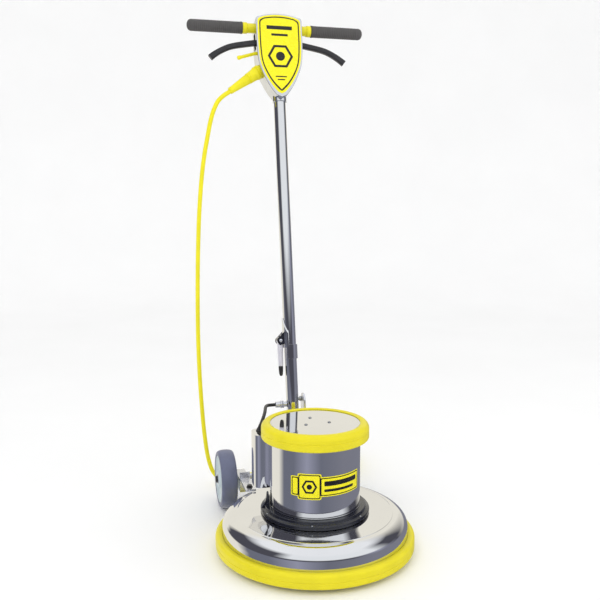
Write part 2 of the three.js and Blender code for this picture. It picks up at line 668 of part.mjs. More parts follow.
function addGripBar() {
  const { along, radius, barRadius, start, end } = grip;
  add("handle_bar", rod([-end + 5, 0, along], [end - 5, 0, along], barRadius, 28), yellowPaint, handle);
  for (const [side, name] of [[-1, "left"], [1, "right"]]) {
    add(`grip_${name}`, turned([
      [barRadius + GAP, start], [radius, start], [radius, end - 4], [radius - 4, end], [0, end],
      [0, end - 4.7], [barRadius + GAP, end - 4.7],
    ], [0, 0, along], [side, 0, 0], 28), greyRubber, handle);
  }
}

// A squeeze lever under each grip, hinged on a pin inside the housing
function addSqueezeLever(side, name) {
  const { pivotX, pivotAlong: along, height, pinRadius, eyeRadius, front, back } = lever;
  const middle = [[52, 1243], [84, 1238], [128, 1228.5], [152, 1217.5], [168, 1207.5], [182, 1197]];
  const half = height / 2;
  const upper = middle.map(([x, z]) => [x * side, z + half]);
  const lower = middle.map(([x, z]) => [(x - 4) * side, z - half]).reverse();
  const eye = rod([pivotX * side, front, along], [pivotX * side, back, along], eyeRadius);
  const pinHole = rod([pivotX * side, front - 7, along], [pivotX * side, back + 7, along],
    pinRadius + GAP, 12);
  const blade = plateXZ(shapeOf([[pivotX * side, along + 8], ...upper, ...lower,
    [pivotX * side, along - 8]]), front, back);
  add(`squeeze_lever_${name}`, cut(join(blade, eye), pinHole), blackPlastic, handle);
}

function addLockPin() {
  add("safety_lock_pin", turned([
    [0, 0], [lockPin.radius, 0], [lockPin.radius, lockPin.length - 2],
    [lockPin.radius - 2, lockPin.length], [0, lockPin.length],
  ], lockPin.from, lockPin.direction, 16), yellowRubber, handle);
}

// Cords

const cord = { radius: 5.8, reliefStart: 40, reliefMiddle: 70, reliefEnd: 100 };
const glandFlange = { start: 9, radius: 18, end: 15 };

function addCordExit() {
  add("cord_gland", turned([
    [cord.radius + GAP, -14], [glandRadius, -14], [glandRadius, glandFlange.start + GAP],
    [glandFlange.radius, glandFlange.start + GAP], [glandFlange.radius, glandFlange.end],
    [15.5, glandFlange.end + 4], [14, cord.reliefStart], [cord.radius + GAP, cord.reliefStart],
  ], exitPoint(0), exitDirection, 24), yellowRubber, handle);
  add("strain_relief", turned([
    [cord.radius + GAP, cord.reliefStart + GAP], [13.2, cord.reliefStart + GAP],
    [11.5, cord.reliefMiddle],
    [8.6, cord.reliefEnd], [cord.radius + GAP, cord.reliefEnd],
  ], exitPoint(0), exitDirection, 24), yellowRubber, handle);
}

// The supply cord from the strain relief to the floor, then to the coil behind the machine
const cordRoute = [
  [-134.2, 366.8, 1093.0], [-150, 364.9, 1082.2], [-164, 363.0, 1068], [-176, 361.8, 1044],
  [-185, 361.5, 1014], [-192, 362, 980], [-199, 363, 944], [-205, 365, 905], [-210, 368, 860],
  [-216, 374, 780], [-220, 381, 680], [-222, 389, 570], [-222, 397, 460], [-219, 405, 350],
  [-213, 414, 245], [-205, 424, 155], [-194, 436, 84], [-178, 449, 38], [-154, 463, 13],
  [-124, 478, 6.2], [-88, 490, 6.2], [-50, 496, 6.2], [-14, 493, 6.2], [18, 480, 6.2],
  [48, 461, 6.2], [79, 439, 6.2],
];
const coil = { x: 148, y: 548, inner: 75.6, outer: 122, bottom: 1.8, top: 59.8, mean: 98.8, bevel: 4 };
const tie = { degrees: 150, halfWidth: 7, thickness: 1.2, slack: 2 };

function addCord() {
  add("power_cord", tubeAlong(cordRoute, cord.radius, 62, 8), yellowRubber);
  const { inner, outer, bottom, top, bevel } = coil;
  add("cord_coil", revolve([
    [inner + bevel, bottom], [outer - bevel, bottom], [outer, bottom + bevel], [outer, top - bevel],
    [outer - bevel, top], [inner + bevel, top], [inner, top - bevel], [inner, bottom + bevel],
  ], 32).translate(coil.x, coil.y, 0), yellowRubber);
}

// A flat strap round one side of the coil
function addTie() {
  const { halfWidth, thickness, slack } = tie;
  const low = [coil.inner - slack, -halfWidth, coil.bottom - thickness - GAP];
  const high = [coil.outer + slack, halfWidth, coil.top + thickness + GAP];
  const hole = block(
    [low[0] + thickness, low[1] - 1, low[2] + thickness],
    [high[0] - thickness, high[1] + 1, high[2] - thickness],
  );
  add("cord_tie", cut(block(low, high), hole).rotateZ(THREE.MathUtils.degToRad(tie.degrees))
    .translate(coil.x, coil.y, 0), blackPlastic);
}

const plug = { degrees: 30, radius: 15, neckRadius: 8, length: 46, prongReach: 62, prongOffset: 6.4,
  prongWidth: 6.4, prongThickness: 1.6 };

function coilPoint(degrees, z) {
  const angle = THREE.MathUtils.degToRad(degrees);
  return [coil.x + coil.mean * Math.cos(angle), coil.y + coil.mean * Math.sin(angle), z];
}

function addPlug() {
  const lyingZ = coil.top + GAP + cord.radius;
  const plugZ = coil.top + GAP + plug.radius;
  const angle = THREE.MathUtils.degToRad(plug.degrees);
  const ahead = [-Math.sin(angle), Math.cos(angle), 0];
  const back = coilPoint(plug.degrees, plugZ);
  const before = back.map((value, axis) => value - ahead[axis] * 14);
  const tail = [-80, -65, -50, -35, -22].map((degrees) => coilPoint(degrees, lyingZ));
  tail.push(coilPoint(-8, lyingZ + 3), coilPoint(6, lyingZ + 8), before, back);
  add("cord_tail", tubeAlong(tail, cord.radius, 12, 8), yellowRubber);
  const rooted = plug.length - 16;
  const halfThick = plug.prongThickness / 2;
  const halfWide = plug.prongWidth / 2;
  const prongs = [-plug.prongOffset, plug.prongOffset].map((x) => (
    block([x - halfThick, -halfWide, rooted], [x + halfThick, halfWide, plug.prongReach])));
  const earth = rod([0, 8, rooted], [0, 8, plug.prongReach + 2], 2.4, 12);
  const shell = revolve([
    [0, GAP], [plug.neckRadius, GAP], [plug.neckRadius + 1, 12], [plug.radius, 20],
    [plug.radius, plug.length - 2], [plug.radius - 2, plug.length], [0, plug.length],
  ], 24);
  const body = join(shell, ...prongs, earth);
  const turn = new THREE.Quaternion().setFromUnitVectors(
    new THREE.Vector3(0, 0, 1), new THREE.Vector3(...ahead),
  );
  add("plug", body.applyQuaternion(turn).translate(...back), blackPlastic);
}

// The motor lead from the tube to the capacitor cover
const lead = { along: 293, radius: 4.2 };

function addMotorLead() {
  add("lead_gland", turned([
    [0, 16.3], [7, 16.3], [7, 24], [10, 24], [10, 33], [8, 33], [7.5, 46], [0, 46],
  ], [0, 0, lead.along], [-1, 0, 0], 16), satinSteel, handle);
  const [startY, startZ] = handlePoint(lead.along);
  add("motor_lead", tubeAlong([
    [-46.4, startY, startZ], [-56, startY, startZ], [-68, 213, 290], [-77, 192, 292],
    [-84, 164, 292.5], [-91, 138, 291], [-100, 112, 286.5], [-109, 92, 279.5],
    [-114.5, 82, 274], [-115, 81, 269], [-115, 81, capacitorBox.top + 0.8],
  ], lead.radius, 24, 8), blackPlastic);
}

addPadAndDriver();
addApron();
addGears();
addGearcase();
addMotorCasing();
addMotorInside();
addBadge();
addCapacitor();
addTruck();
for (const [side, name] of [[-1, "left"], [1, "right"]]) {
  addAxleBracket(side, name);
  addWheel(side, name);
  addSqueezeLever(side, name);
}
addHandleTube();
addReleaseLever();
addSwitchHousing();
addSwitchHousingFront();
addSwitch();
addGripBar();
addLockPin();
addCordExit();
addCord();
addTie();
addPlug();
addMotorLead();

export default machine;
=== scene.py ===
"""The looks of a rotary floor machine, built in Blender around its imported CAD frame.

Lengths in this script are millimetres until a mesh is made, apart from the cords' routes, which are
metres. Angles are degrees. Handle pieces are drawn in the handle's own axes: X across, Y to the back,
Z along the tube from its foot.
"""

import json
from math import atan2, cos, pi, radians, sin

import bmesh
import bpy
from mathutils import Matrix, Vector


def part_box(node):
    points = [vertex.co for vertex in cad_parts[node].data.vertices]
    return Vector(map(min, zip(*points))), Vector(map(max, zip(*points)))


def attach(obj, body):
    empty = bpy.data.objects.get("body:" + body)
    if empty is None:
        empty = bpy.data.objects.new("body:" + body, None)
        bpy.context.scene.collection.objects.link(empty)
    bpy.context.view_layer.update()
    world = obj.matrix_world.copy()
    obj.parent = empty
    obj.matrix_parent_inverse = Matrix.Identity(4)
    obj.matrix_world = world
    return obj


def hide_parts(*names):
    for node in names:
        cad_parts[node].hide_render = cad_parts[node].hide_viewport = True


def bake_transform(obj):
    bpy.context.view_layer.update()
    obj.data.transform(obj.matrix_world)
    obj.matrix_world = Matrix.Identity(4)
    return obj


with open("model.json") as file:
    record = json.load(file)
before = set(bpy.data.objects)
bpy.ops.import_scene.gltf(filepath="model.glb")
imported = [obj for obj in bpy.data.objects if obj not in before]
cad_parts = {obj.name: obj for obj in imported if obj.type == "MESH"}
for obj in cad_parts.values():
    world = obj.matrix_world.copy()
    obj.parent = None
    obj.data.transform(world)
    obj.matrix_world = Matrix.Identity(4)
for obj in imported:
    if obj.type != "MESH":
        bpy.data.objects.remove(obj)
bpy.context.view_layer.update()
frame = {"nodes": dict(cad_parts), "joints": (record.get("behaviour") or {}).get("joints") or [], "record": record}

MM = 0.001
LATHE_SIDES = 128
PATH_STEPS = 6
WRAP_STEP = 3
BADGE_INNER = 105.05
SMALL_SIDES = 40
SMOOTH_ANGLE = 32

nodes = frame["nodes"]
joints = {joint["name"]: joint for joint in frame["joints"]}


def span(node):
    """The lowest and highest corners of a CAD node, in millimetres."""
    low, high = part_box(node)
    return low / MM, high / MM


# Node materials


def material(name):
    """A new node material with its tree and shader."""
    made = bpy.data.materials.new(name)
    made.use_nodes = True
    tree = made.node_tree
    return made, tree, tree.nodes["Principled BSDF"]


def link(tree, output, socket):
    tree.links.new(output, socket)


def mapped(tree, stretch=(1, 1, 1)):
    """Object coordinates, scaled along each axis."""
    place = tree.nodes.new("ShaderNodeTexCoord")
    scaled = tree.nodes.new("ShaderNodeMapping")
    scaled.inputs["Scale"].default_value = stretch
    link(tree, place.outputs["Object"], scaled.inputs["Vector"])
    return scaled.outputs["Vector"]


def noise_of(tree, vector, scale, detail=4.0, rough=0.55):
    made = tree.nodes.new("ShaderNodeTexNoise")
    made.inputs["Scale"].default_value = scale
    made.inputs["Detail"].default_value = detail
    made.inputs["Roughness"].default_value = rough
    link(tree, vector, made.inputs["Vector"])
    return made.outputs["Fac"]


def ramp_of(tree, factor, stops):
    """A colour ramp of (position, colour) stops."""
    made = tree.nodes.new("ShaderNodeValToRGB")
    elements = made.color_ramp.elements
    while len(elements) < len(stops):
        elements.new(0.5)
    for element, (position, colour) in zip(elements, stops):
        element.position = position
        element.color = (*colour, 1)
    link(tree, factor, made.inputs["Fac"])
    return made.outputs["Color"]


def ranged(tree, value, low, high, start=0.3, end=0.7):
    """A value between low and high as another goes from start to end."""
    made = tree.nodes.new("ShaderNodeMapRange")
    for socket, number in (("From Min", start), ("From Max", end), ("To Min", low), ("To Max", high)):
        made.inputs[socket].default_value = number
    link(tree, value, made.inputs["Value"])
    return made.outputs["Result"]


def bumped(tree, shader, height, strength, depth_mm):
    made = tree.nodes.new("ShaderNodeBump")
    made.inputs["Strength"].default_value = strength
    made.inputs["Distance"].default_value = depth_mm * MM
    link(tree, height, made.inputs["Height"])
    link(tree, made.outputs["Normal"], shader.inputs["Normal"])


def shaded(colour, share):
    return tuple(min(1.0, channel * share) for channel in colour)


def surface(name, colour, rough, metallic=0.0, patches=25, contrast=0.06, grain=900, relief=0.15,
            depth=0.05, stretch=(1, 1, 1), coat=0.0):
    """A finish whose colour and roughness drift in soft patches, over a fine grain."""
    made, tree, shader = material(name)
    shader.inputs["Metallic"].default_value = metallic
    shader.inputs["Coat Weight"].default_value = coat
    shader.inputs["Coat Roughness"].default_value = 0.06
    vector = mapped(tree, stretch)
    drift = noise_of(tree, vector, patches)
    stops = [(0.3, shaded(colour, 1 - contrast)), (0.7, shaded(colour, 1 + contrast))]
    link(tree, ramp_of(tree, drift, stops), shader.inputs["Base Color"])
    link(tree, ranged(tree, drift, *rough), shader.inputs["Roughness"])
    bumped(tree, shader, noise_of(tree, vector, grain, 3.0), relief, depth)
    return made


def pad_fibre_finish():
    """Coarse tangled fibres, with painted shade darkening the hollows."""
    made, tree, shader = material("pad_fibre")
    shader.inputs["Roughness"].default_value = 0.95
    vector = mapped(tree)
    tangle_and_shade = noise_of(tree, vector, 420, 8.0, 0.75)
    # The colour follows the bump noise, so the hollows between the fibres get painted shade.
    stops = [(0.35, (0.006, 0.006, 0.006)), (0.65, (0.075, 0.07, 0.062))]
    link(tree, ramp_of(tree, tangle_and_shade, stops), shader.inputs["Base Color"])
    bumped(tree, shader, tangle_and_shade, 0.9, 1.2)
    return made


def winding_finish():
    """Varnished copper wire in fine hoops, on a laminated core."""
    made, tree, shader = material("stator_iron")
    shader.inputs["Metallic"].default_value = 0.8
    wave = tree.nodes.new("ShaderNodeTexWave")
    wave.bands_direction = "Z"
    wave.inputs["Scale"].default_value = 260
    wave.inputs["Distortion"].default_value = 0.6
    link(tree, mapped(tree), wave.inputs["Vector"])
    stops = [(0.2, (0.10, 0.045, 0.02)), (0.8, (0.42, 0.19, 0.09))]
    link(tree, ramp_of(tree, wave.outputs["Fac"], stops), shader.inputs["Base Color"])
    link(tree, ranged(tree, wave.outputs["Fac"], 0.3, 0.5), shader.inputs["Roughness"])
    bumped(tree, shader, wave.outputs["Fac"], 0.5, 0.3)
    return made


YELLOW = (0.84, 0.755, 0.008)
BUMPER_YELLOW = (0.76, 0.665, 0.004)
FILM_YELLOW = (0.88, 0.80, 0.006)
BRUSHED = (4, 4, 60)

finishes = {
    "chrome_plate": surface(
        "chrome_plate", (0.84, 0.84, 0.85), (0.025, 0.06), metallic=1.0, patches=9, contrast=0.02, grain=14,
        relief=0.05, depth=0.25,
    ),
    "zinc_steel": surface(
        "zinc_steel", (0.74, 0.75, 0.80), (0.16, 0.26), metallic=0.85, patches=30, contrast=0.04, grain=60,
        relief=0.06, depth=0.03, stretch=BRUSHED,
    ),
    "cast_alloy": surface(
        "cast_alloy", (0.78, 0.79, 0.81), (0.08, 0.18), metallic=1.0, patches=40, contrast=0.05, grain=500,
        relief=0.06,
    ),
    # Black enamel; its faint blue tint is a painted reflection of the bluish room in front.
    "black_enamel": surface(
        "black_enamel", (0.008, 0.009, 0.016), (0.14, 0.24), patches=30, contrast=0.2, grain=260,
        relief=0.08, depth=0.08, coat=0.25,
    ),
    "gear_steel": surface(
        "gear_steel", (0.45, 0.46, 0.48), (0.25, 0.40), metallic=1.0, patches=40, contrast=0.10, grain=300,
        relief=0.2,
    ),
    "stator_iron": winding_finish(),
    "yellow_rubber": surface(
        "yellow_rubber", BUMPER_YELLOW, (0.34, 0.48), patches=18, contrast=0.05, grain=1400, relief=0.10,
        depth=0.04,
    ),
    "yellow_jacket": surface(
        "yellow_jacket", YELLOW, (0.36, 0.50), patches=30, grain=1800, relief=0.12, depth=0.04,
    ),
    "yellow_plastic": surface(
        "yellow_plastic", YELLOW, (0.24, 0.36), patches=40, contrast=0.04, relief=0.06, depth=0.03,
    ),
    "yellow_paint": surface(
        "yellow_paint", YELLOW, (0.18, 0.30), patches=40, contrast=0.04, grain=500, relief=0.06, depth=0.04,
        coat=0.4,
    ),
    "yellow_film": surface(
        "yellow_film", FILM_YELLOW, (0.22, 0.32), patches=60, contrast=0.03, grain=700, relief=0.04,
        depth=0.02,
    ),
    "grip_rubber": surface(
        "grip_rubber", (0.078, 0.074, 0.073), (0.55, 0.75), patches=60, contrast=0.12, grain=1500,
        relief=0.45, depth=0.15,
    ),
    "wheel_tread": surface(
        "wheel_tread", (0.135, 0.150, 0.235), (0.32, 0.48), patches=35, contrast=0.10, relief=0.25,
        depth=0.10,
    ),
    "wheel_plastic": surface(
        "wheel_plastic", (0.50, 0.58, 0.61), (0.32, 0.48), patches=35, contrast=0.10, depth=0.06,
    ),
    "black_plastic": surface(
        "black_plastic", (0.020, 0.019, 0.022), (0.28, 0.42), patches=40, contrast=0.25, relief=0.20,
        depth=0.06,
    ),
    "black_jacket": surface(
        "black_jacket", (0.012, 0.012, 0.013), (0.35, 0.5), patches=40, contrast=0.25, grain=1500,
        relief=0.2,
    ),
    "pad_fibre": pad_fibre_finish(),
}
ink_black = surface(
    "ink_black", (0.010, 0.010, 0.010), (0.25, 0.35), patches=60, contrast=0.2, grain=800, relief=0.04,
    depth=0.02,
)
bright_plate = surface(
    "bright_plate", (0.78, 0.77, 0.84), (0.18, 0.28), metallic=0.35, patches=40, contrast=0.04, grain=500,
    relief=0.05, depth=0.03,
)


# Meshes


def put(name, mesh, slot, body, stands_for=(), place=None, bevel=0, finish=None, angle=SMOOTH_ANGLE):
    """A mesh drawn in millimetres becomes a piece in metres that rides on a body."""
    mesh.transform(Matrix.Scale(MM, 4) @ (place or Matrix.Identity(4)))
    mesh.shade_smooth()
    mesh.set_sharp_from_angle(angle=radians(angle))
    piece = bpy.data.objects.new(name, mesh)
    bpy.context.scene.collection.objects.link(piece)
    piece.data.materials.append(finish or finishes[slot])
    if bevel:
        rounding = piece.modifiers.new("rounding", "BEVEL")
        rounding.width = bevel * MM
        rounding.segments = 3
        rounding.limit_method = "ANGLE"
        rounding.angle_limit = radians(angle)
        rounding.harden_normals = True
    if body:
        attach(piece, body)
    if stands_for:
        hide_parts(*stands_for)
    return piece


def mesh_from(build):
    """The mesh of a bmesh that a function fills, with its seams closed and its faces turned out."""
    bm = bmesh.new()
    build(bm)
    bmesh.ops.remove_doubles(bm, verts=bm.verts, dist=1e-4)
    bmesh.ops.dissolve_degenerate(bm, edges=bm.edges, dist=1e-5)
    bmesh.ops.recalc_face_normals(bm, faces=bm.faces)
    mesh = bpy.data.meshes.new("mesh")
    bm.to_mesh(mesh)
    bm.free()
    return mesh


def skin(rings, closed_rings=True, capped=True, closed_path=False):
    """A surface through rings of points, with flat ends where it is capped."""

    def build(bm):
        loops = [[bm.verts.new(point) for point in ring] for ring in rings]
        pairs = list(zip(loops, loops[1:]))
        if closed_path:
            pairs.append((loops[-1], loops[0]))
        count = len(loops[0])
        for first, second in pairs:
            for i in range(count if closed_rings else count - 1):
                j = (i + 1) % count
                bm.faces.new((first[i], first[j], second[j], second[i]))
        if capped and not closed_path:
            bm.faces.new(loops[0])
            bm.faces.new(loops[-1])

    return mesh_from(build)


def lathe(outline, sides=LATHE_SIDES):
    """A closed outline of (radius, height) points turned about Z."""
    turns = [2 * pi * i / sides for i in range(sides)]
    return skin([[(r * cos(a), r * sin(a), z) for r, z in outline] for a in turns], closed_path=True)


def prism(outline, low, high):
    """A flat outline given thickness along Z."""
    return skin([[(x, y, z) for x, y in outline] for z in (low, high)])


def rounded(corners, steps=6):
    """An outline whose corners, given as (x, y) or (x, y, cut), are rounded from cut before to cut after."""
    points = []
    for i, (x, y, *cut) in enumerate(corners):
        here = Vector((x, y))
        if not cut or not cut[0]:
            points.append((x, y))
            continue
        before = Vector(corners[i - 1][:2]) - here
        after = Vector(corners[(i + 1) % len(corners)][:2]) - here
        start = here + before.normalized() * min(cut[0], before.length / 2)
        end = here + after.normalized() * min(cut[0], after.length / 2)
        for k in range(steps + 1):
            t = k / steps
            points.append(tuple(start * (1 - t) ** 2 + here * 2 * t * (1 - t) + end * t ** 2))
    return points


def ellipse(x, y, across, up, start=0, end=360, steps=48):
    """Points on a stretch of an ellipse, without the last point of a full turn."""
    count = steps if end - start == 360 else steps + 1
    turns = [radians(start + (end - start) * i / steps) for i in range(count)]
    return [(x + across * cos(a), y + up * sin(a)) for a in turns]


def pointing(start, direction):
    """The placement that turns Z to a direction and moves the origin to a point."""
    turn = Vector(direction).to_track_quat("Z", "Y").to_matrix().to_4x4()
    return Matrix.Translation(start) @ turn


def smooth_path(points):
    """A centripetal Catmull-Rom curve through points."""
    known = [Vector(point) for point in points]
    ends = [known[0] * 2 - known[1], *known, known[-1] * 2 - known[-2]]
    line = []
    for a, b, c, d in zip(ends, ends[1:], ends[2:], ends[3:]):
        t1 = (b - a).length ** 0.5
        t2 = t1 + (c - b).length ** 0.5
        t3 = t2 + (d - c).length ** 0.5
        for k in range(PATH_STEPS):
            t = t1 + (t2 - t1) * k / PATH_STEPS
            ab = a.lerp(b, t / t1)
            bc = b.lerp(c, (t - t1) / (t2 - t1))
            cd = c.lerp(d, (t - t2) / (t3 - t2))
            abc = ab.lerp(bc, t / t2)
            bcd = bc.lerp(cd, (t - t1) / (t3 - t1))
            line.append(abc.lerp(bcd, (t - t1) / (t2 - t1)))
    return [*line, known[-1]]


def sweep(path, section):
    """A section of (side, up) points carried along a path without twisting, its first side toward +Y."""
    line = [Vector(point) for point in path]
    side = Vector((0, 1, 0))
    rings = []
    for i, here in enumerate(line):
        ahead = (line[min(i + 1, len(line) - 1)] - line[max(i - 1, 0)]).normalized()
        side = (side - ahead * side.dot(ahead)).normalized()
        up = ahead.cross(side)
        rings.append([here + side * across + up * over for across, over in section])
    return skin(rings)


def joined(*meshes):
    """Several meshes as one."""

    def build(bm):
        for mesh in meshes:
            bm.from_mesh(mesh)

    return mesh_from(build)


def moved(mesh, place):
    mesh.transform(place)
    return mesh


def carved(body, *tools):
    """A mesh with other meshes cut out of it."""
    block = bpy.data.objects.new("block", body)
    bpy.context.scene.collection.objects.link(block)
    knives = []
    for tool in tools:
        knife = bpy.data.objects.new("knife", tool)
        bpy.context.scene.collection.objects.link(knife)
        cut = block.modifiers.new("cut", "BOOLEAN")
        cut.operation = "DIFFERENCE"
        cut.solver = "EXACT"
        cut.object = knife
        knives.append(knife)
    bpy.context.view_layer.update()
    result = bpy.data.meshes.new_from_object(block.evaluated_get(bpy.context.evaluated_depsgraph_get()))
    for used in (block, *knives):
        bpy.data.objects.remove(used)
    return result


def cad_copy(node, slot, body, bevel, name=None):
    """A CAD piece again with merged faces and rounded edges, in place of the CAD node."""
    bm = bmesh.new()
    bm.from_mesh(nodes[node].data)
    bmesh.ops.remove_doubles(bm, verts=bm.verts, dist=1e-6)
    bmesh.ops.dissolve_limit(bm, angle_limit=radians(1), verts=bm.verts, edges=bm.edges)
    mesh = bpy.data.meshes.new("mesh")
    bm.to_mesh(mesh)
    bm.free()
    mesh.transform(Matrix.Scale(1 / MM, 4))
    return put(name or f"{node}_shape", mesh, slot, body, [node], bevel=bevel)


# Camera, floor and light


def add_camera():
    """The camera stands low in front and to the left, and looks slightly down."""
    camera = bpy.data.cameras.new("camera")
    camera.lens = 45.14
    camera.sensor_width = 36
    holder = bpy.data.objects.new("camera", camera)
    holder.location = (-0.4485, -1.6318, 0.7961)
    holder.rotation_euler = (radians(82.93), 0, radians(-14.19))
    bpy.context.scene.collection.objects.link(holder)
    bpy.context.scene.camera = holder


def add_floor():
    """A plain pale floor that sweeps up into a wall all round, far outside the machine."""
    flat, turn, top = 4200, 1800, 4200
    sweep_up = [(flat + turn * sin(a), turn * (1 - cos(a))) for a in (radians(6 * i) for i in range(16))]
    outline = [(0, 0), (1500, 0), (3000, 0), *sweep_up, (flat + turn, top)]
    turns = [2 * pi * i / 96 for i in range(96)]
    rings = [[(r * cos(a), r * sin(a), z) for r, z in outline] for a in turns]
    mesh = skin(rings, closed_rings=False, capped=False, closed_path=True)
    mesh.transform(Matrix.Scale(MM, 4))
    mesh.shade_smooth()
    floor = bpy.data.objects.new("studio_floor", mesh)
    bpy.context.scene.collection.objects.link(floor)
    floor.data.materials.append(
        surface("studio_floor", (0.93, 0.93, 0.93), (0.7, 0.8), 0.0, 2, 0.008, 60, 0.02, 0.1)
    )
    floor.visible_glossy = False
    floor.visible_shadow = False


def add_lamp(name, place, aim, size, power):
    lamp = bpy.data.lights.new(name, "AREA")
    lamp.shape = "RECTANGLE"
    lamp.size, lamp.size_y = size
    lamp.energy = power
    holder = bpy.data.objects.new(name, lamp)
    holder.location = place
    holder.rotation_euler = (Vector(aim) - Vector(place)).to_track_quat("-Z", "Y").to_euler()
    holder.visible_glossy = False
    bpy.context.scene.collection.objects.link(holder)


def by_bearing(stops):
    """Ramp stops from bearings: 0 is the front, -90 the left and 90 the right of the machine."""
    return [((bearing + 180) / 360, colour) for bearing, colour in stops]


def mixed(tree, share, first, second):
    """Two colours, given as values or as outputs, mixed by a share."""
    made = tree.nodes.new("ShaderNodeMix")
    made.data_type = "RGBA"
    link(tree, share, made.inputs["Factor"])
    for index, colour in ((6, first), (7, second)):
        if isinstance(colour, tuple):
            made.inputs[index].default_value = colour
        else:
            link(tree, colour, made.inputs[index])
    return made.outputs[2]


def add_studio():
    """Even white light, and for gloss a plain room: grey low down, a dark skirting, and soft walls above it.

    The room is cream behind the machine, dark at its sides and lit from the front and from the top.
    """
    world = bpy.data.worlds.new("studio")
    bpy.context.scene.world = world
    world.use_nodes = True
    tree = world.node_tree
    glow = tree.nodes["Background"]
    place = tree.nodes.new("ShaderNodeTexCoord")
    split = tree.nodes.new("ShaderNodeSeparateXYZ")
    link(tree, place.outputs["Generated"], split.inputs["Vector"])
    back = tree.nodes.new("ShaderNodeMath")
    back.operation = "MULTIPLY"
    back.inputs[1].default_value = -1
    link(tree, split.outputs["Y"], back.inputs[0])
    turn = tree.nodes.new("ShaderNodeMath")
    turn.operation = "ARCTAN2"
    link(tree, split.outputs["X"], turn.inputs[0])
    link(tree, back.outputs["Value"], turn.inputs[1])
    bearing = ranged(tree, turn.outputs["Value"], 0, 1, -pi, pi)
    cream, dark, dusk = (0.93, 0.90, 0.80), (0.08, 0.08, 0.10), (0.17, 0.18, 0.23)
    haze, grey, lit = (0.34, 0.35, 0.45), (0.225, 0.23, 0.28), (0.90, 0.93, 0.96)
    low = ramp_of(tree, bearing, by_bearing([
        (-180, cream), (-118, cream), (-100, dusk), (-70, dusk), (-35, haze), (0, dusk), (60, grey),
        (150, grey), (165, cream),
    ]))
    skirting = ramp_of(tree, bearing, by_bearing([
        (-180, cream), (-150, cream), (-140, dark), (30, dark), (65, haze), (100, dark), (145, cream),
    ]))
    walls = ramp_of(tree, bearing, by_bearing([
        (-180, cream), (-155, cream), (-145, dark), (-65, dark), (-45, lit), (60, lit), (85, dark),
        (110, dark), (145, cream),
    ]))
    rise = split.outputs["Z"]
    shade = mixed(tree, ranged(tree, rise, 0, 1, 0.02, 0.10), low, skirting)
    shade = mixed(tree, ranged(tree, rise, 0, 1, 0.18, 0.29), shade, walls)
    topped = mixed(tree, ranged(tree, rise, 0, 1, 0.64, 0.82), shade, (0.95, 0.97, 1.0, 1))
    rays = tree.nodes.new("ShaderNodeLightPath")
    link(tree, mixed(tree, rays.outputs["Is Glossy Ray"], (1, 1, 1, 1), topped), glow.inputs["Color"])
    glow.inputs["Strength"].default_value = 0.95
    add_lamp("key_light", (-1.6, -2.2, 2.6), (0, 0, 0.5), (1.6, 1.6), 24)
    add_lamp("fill_light", (2.4, -1.2, 1.6), (0, 0, 0.4), (1.8, 1.8), 10)
    bpy.context.scene.view_settings.view_transform = "Standard"


# The handle's own axes, from the joints

tilt_pivot = Vector(joints["handle_tilt"]["pos_m"]) / MM
lever_axis = joints["release_lever_swing"]["axis"]
LEAN = atan2(-lever_axis[2], lever_axis[1])
PIVOT_ALONG = 130
TUBE_RADIUS = 15.875
LOCK_ALONG = 305
LEVER_X = -26.8
LEVER_ALONG = 458
CHEEK_RADIUS = 9.6
GRIP_ALONG = 1284
BAR_RADIUS = 12.7
GRIP_RADIUS = 15
HEAD_TIP = 1092
HEAD_SHOULDER = 1303
HEAD_CROWN = 1314
HEAD_HALF = 61
HOUSING_BACK = -21
HOUSING_FRONT = 29
COVER_FACE = 32.3
PIN_START = Vector((-44, -8, 1219))
PIN_WAY = Vector((-0.957, 0, -0.29))
ALONG = Vector((0, sin(LEAN), cos(LEAN)))
HANDLE = Matrix.Translation(tilt_pivot - ALONG * PIVOT_ALONG) @ Matrix.Rotation(-LEAN, 4, "X")
FACING = Matrix(((1, 0, 0, 0), (0, 0, -1, 0), (0, 1, 0, 0), (0, 0, 0, 1)))

# Supply cord with its coil and plug, and the motor lead

CORD_RADIUS = 5.8
EXIT = Vector((-50, 0, 1170))
EXIT_SLOPE = radians(34.8)
EXIT_WAY = Vector((-cos(EXIT_SLOPE), 0, -sin(EXIT_SLOPE)))
RELIEF_END = 100
LEAD_RADIUS = 4.2
LEAD_ALONG = 293
LEAD_ENTRY = (-115, 81, 0)

# Points along the middle of each cord, in metres

cord_route = [
    (-0.1342, 0.3668, 1.093), (-0.15, 0.3649, 1.0822), (-0.164, 0.363, 1.068), (-0.176, 0.3618, 1.044),
    (-0.185, 0.3615, 1.014), (-0.192, 0.362, 0.98), (-0.199, 0.363, 0.944), (-0.205, 0.365, 0.905),
    (-0.21, 0.368, 0.86), (-0.216, 0.374, 0.78), (-0.22, 0.381, 0.68), (-0.222, 0.389, 0.57),
    (-0.222, 0.397, 0.46), (-0.219, 0.405, 0.35), (-0.213, 0.414, 0.245), (-0.205, 0.424, 0.155),
    (-0.194, 0.436, 0.084), (-0.178, 0.449, 0.038), (-0.154, 0.463, 0.013), (-0.124, 0.478, 0.0062),
    (-0.088, 0.49, 0.0062), (-0.05, 0.496, 0.0062), (-0.014, 0.493, 0.0062), (0.018, 0.48, 0.0062),
    (0.048, 0.461, 0.0062),
]

lead_route = [
    (-0.068, 0.213, 0.290), (-0.077, 0.192, 0.292), (-0.084, 0.164, 0.2925), (-0.091, 0.138, 0.291),
    (-0.100, 0.112, 0.2865), (-0.109, 0.092, 0.2795), (-0.1145, 0.082, 0.274), (-0.115, 0.081, 0.269),
    (-0.115, 0.081, 0.2662),
]

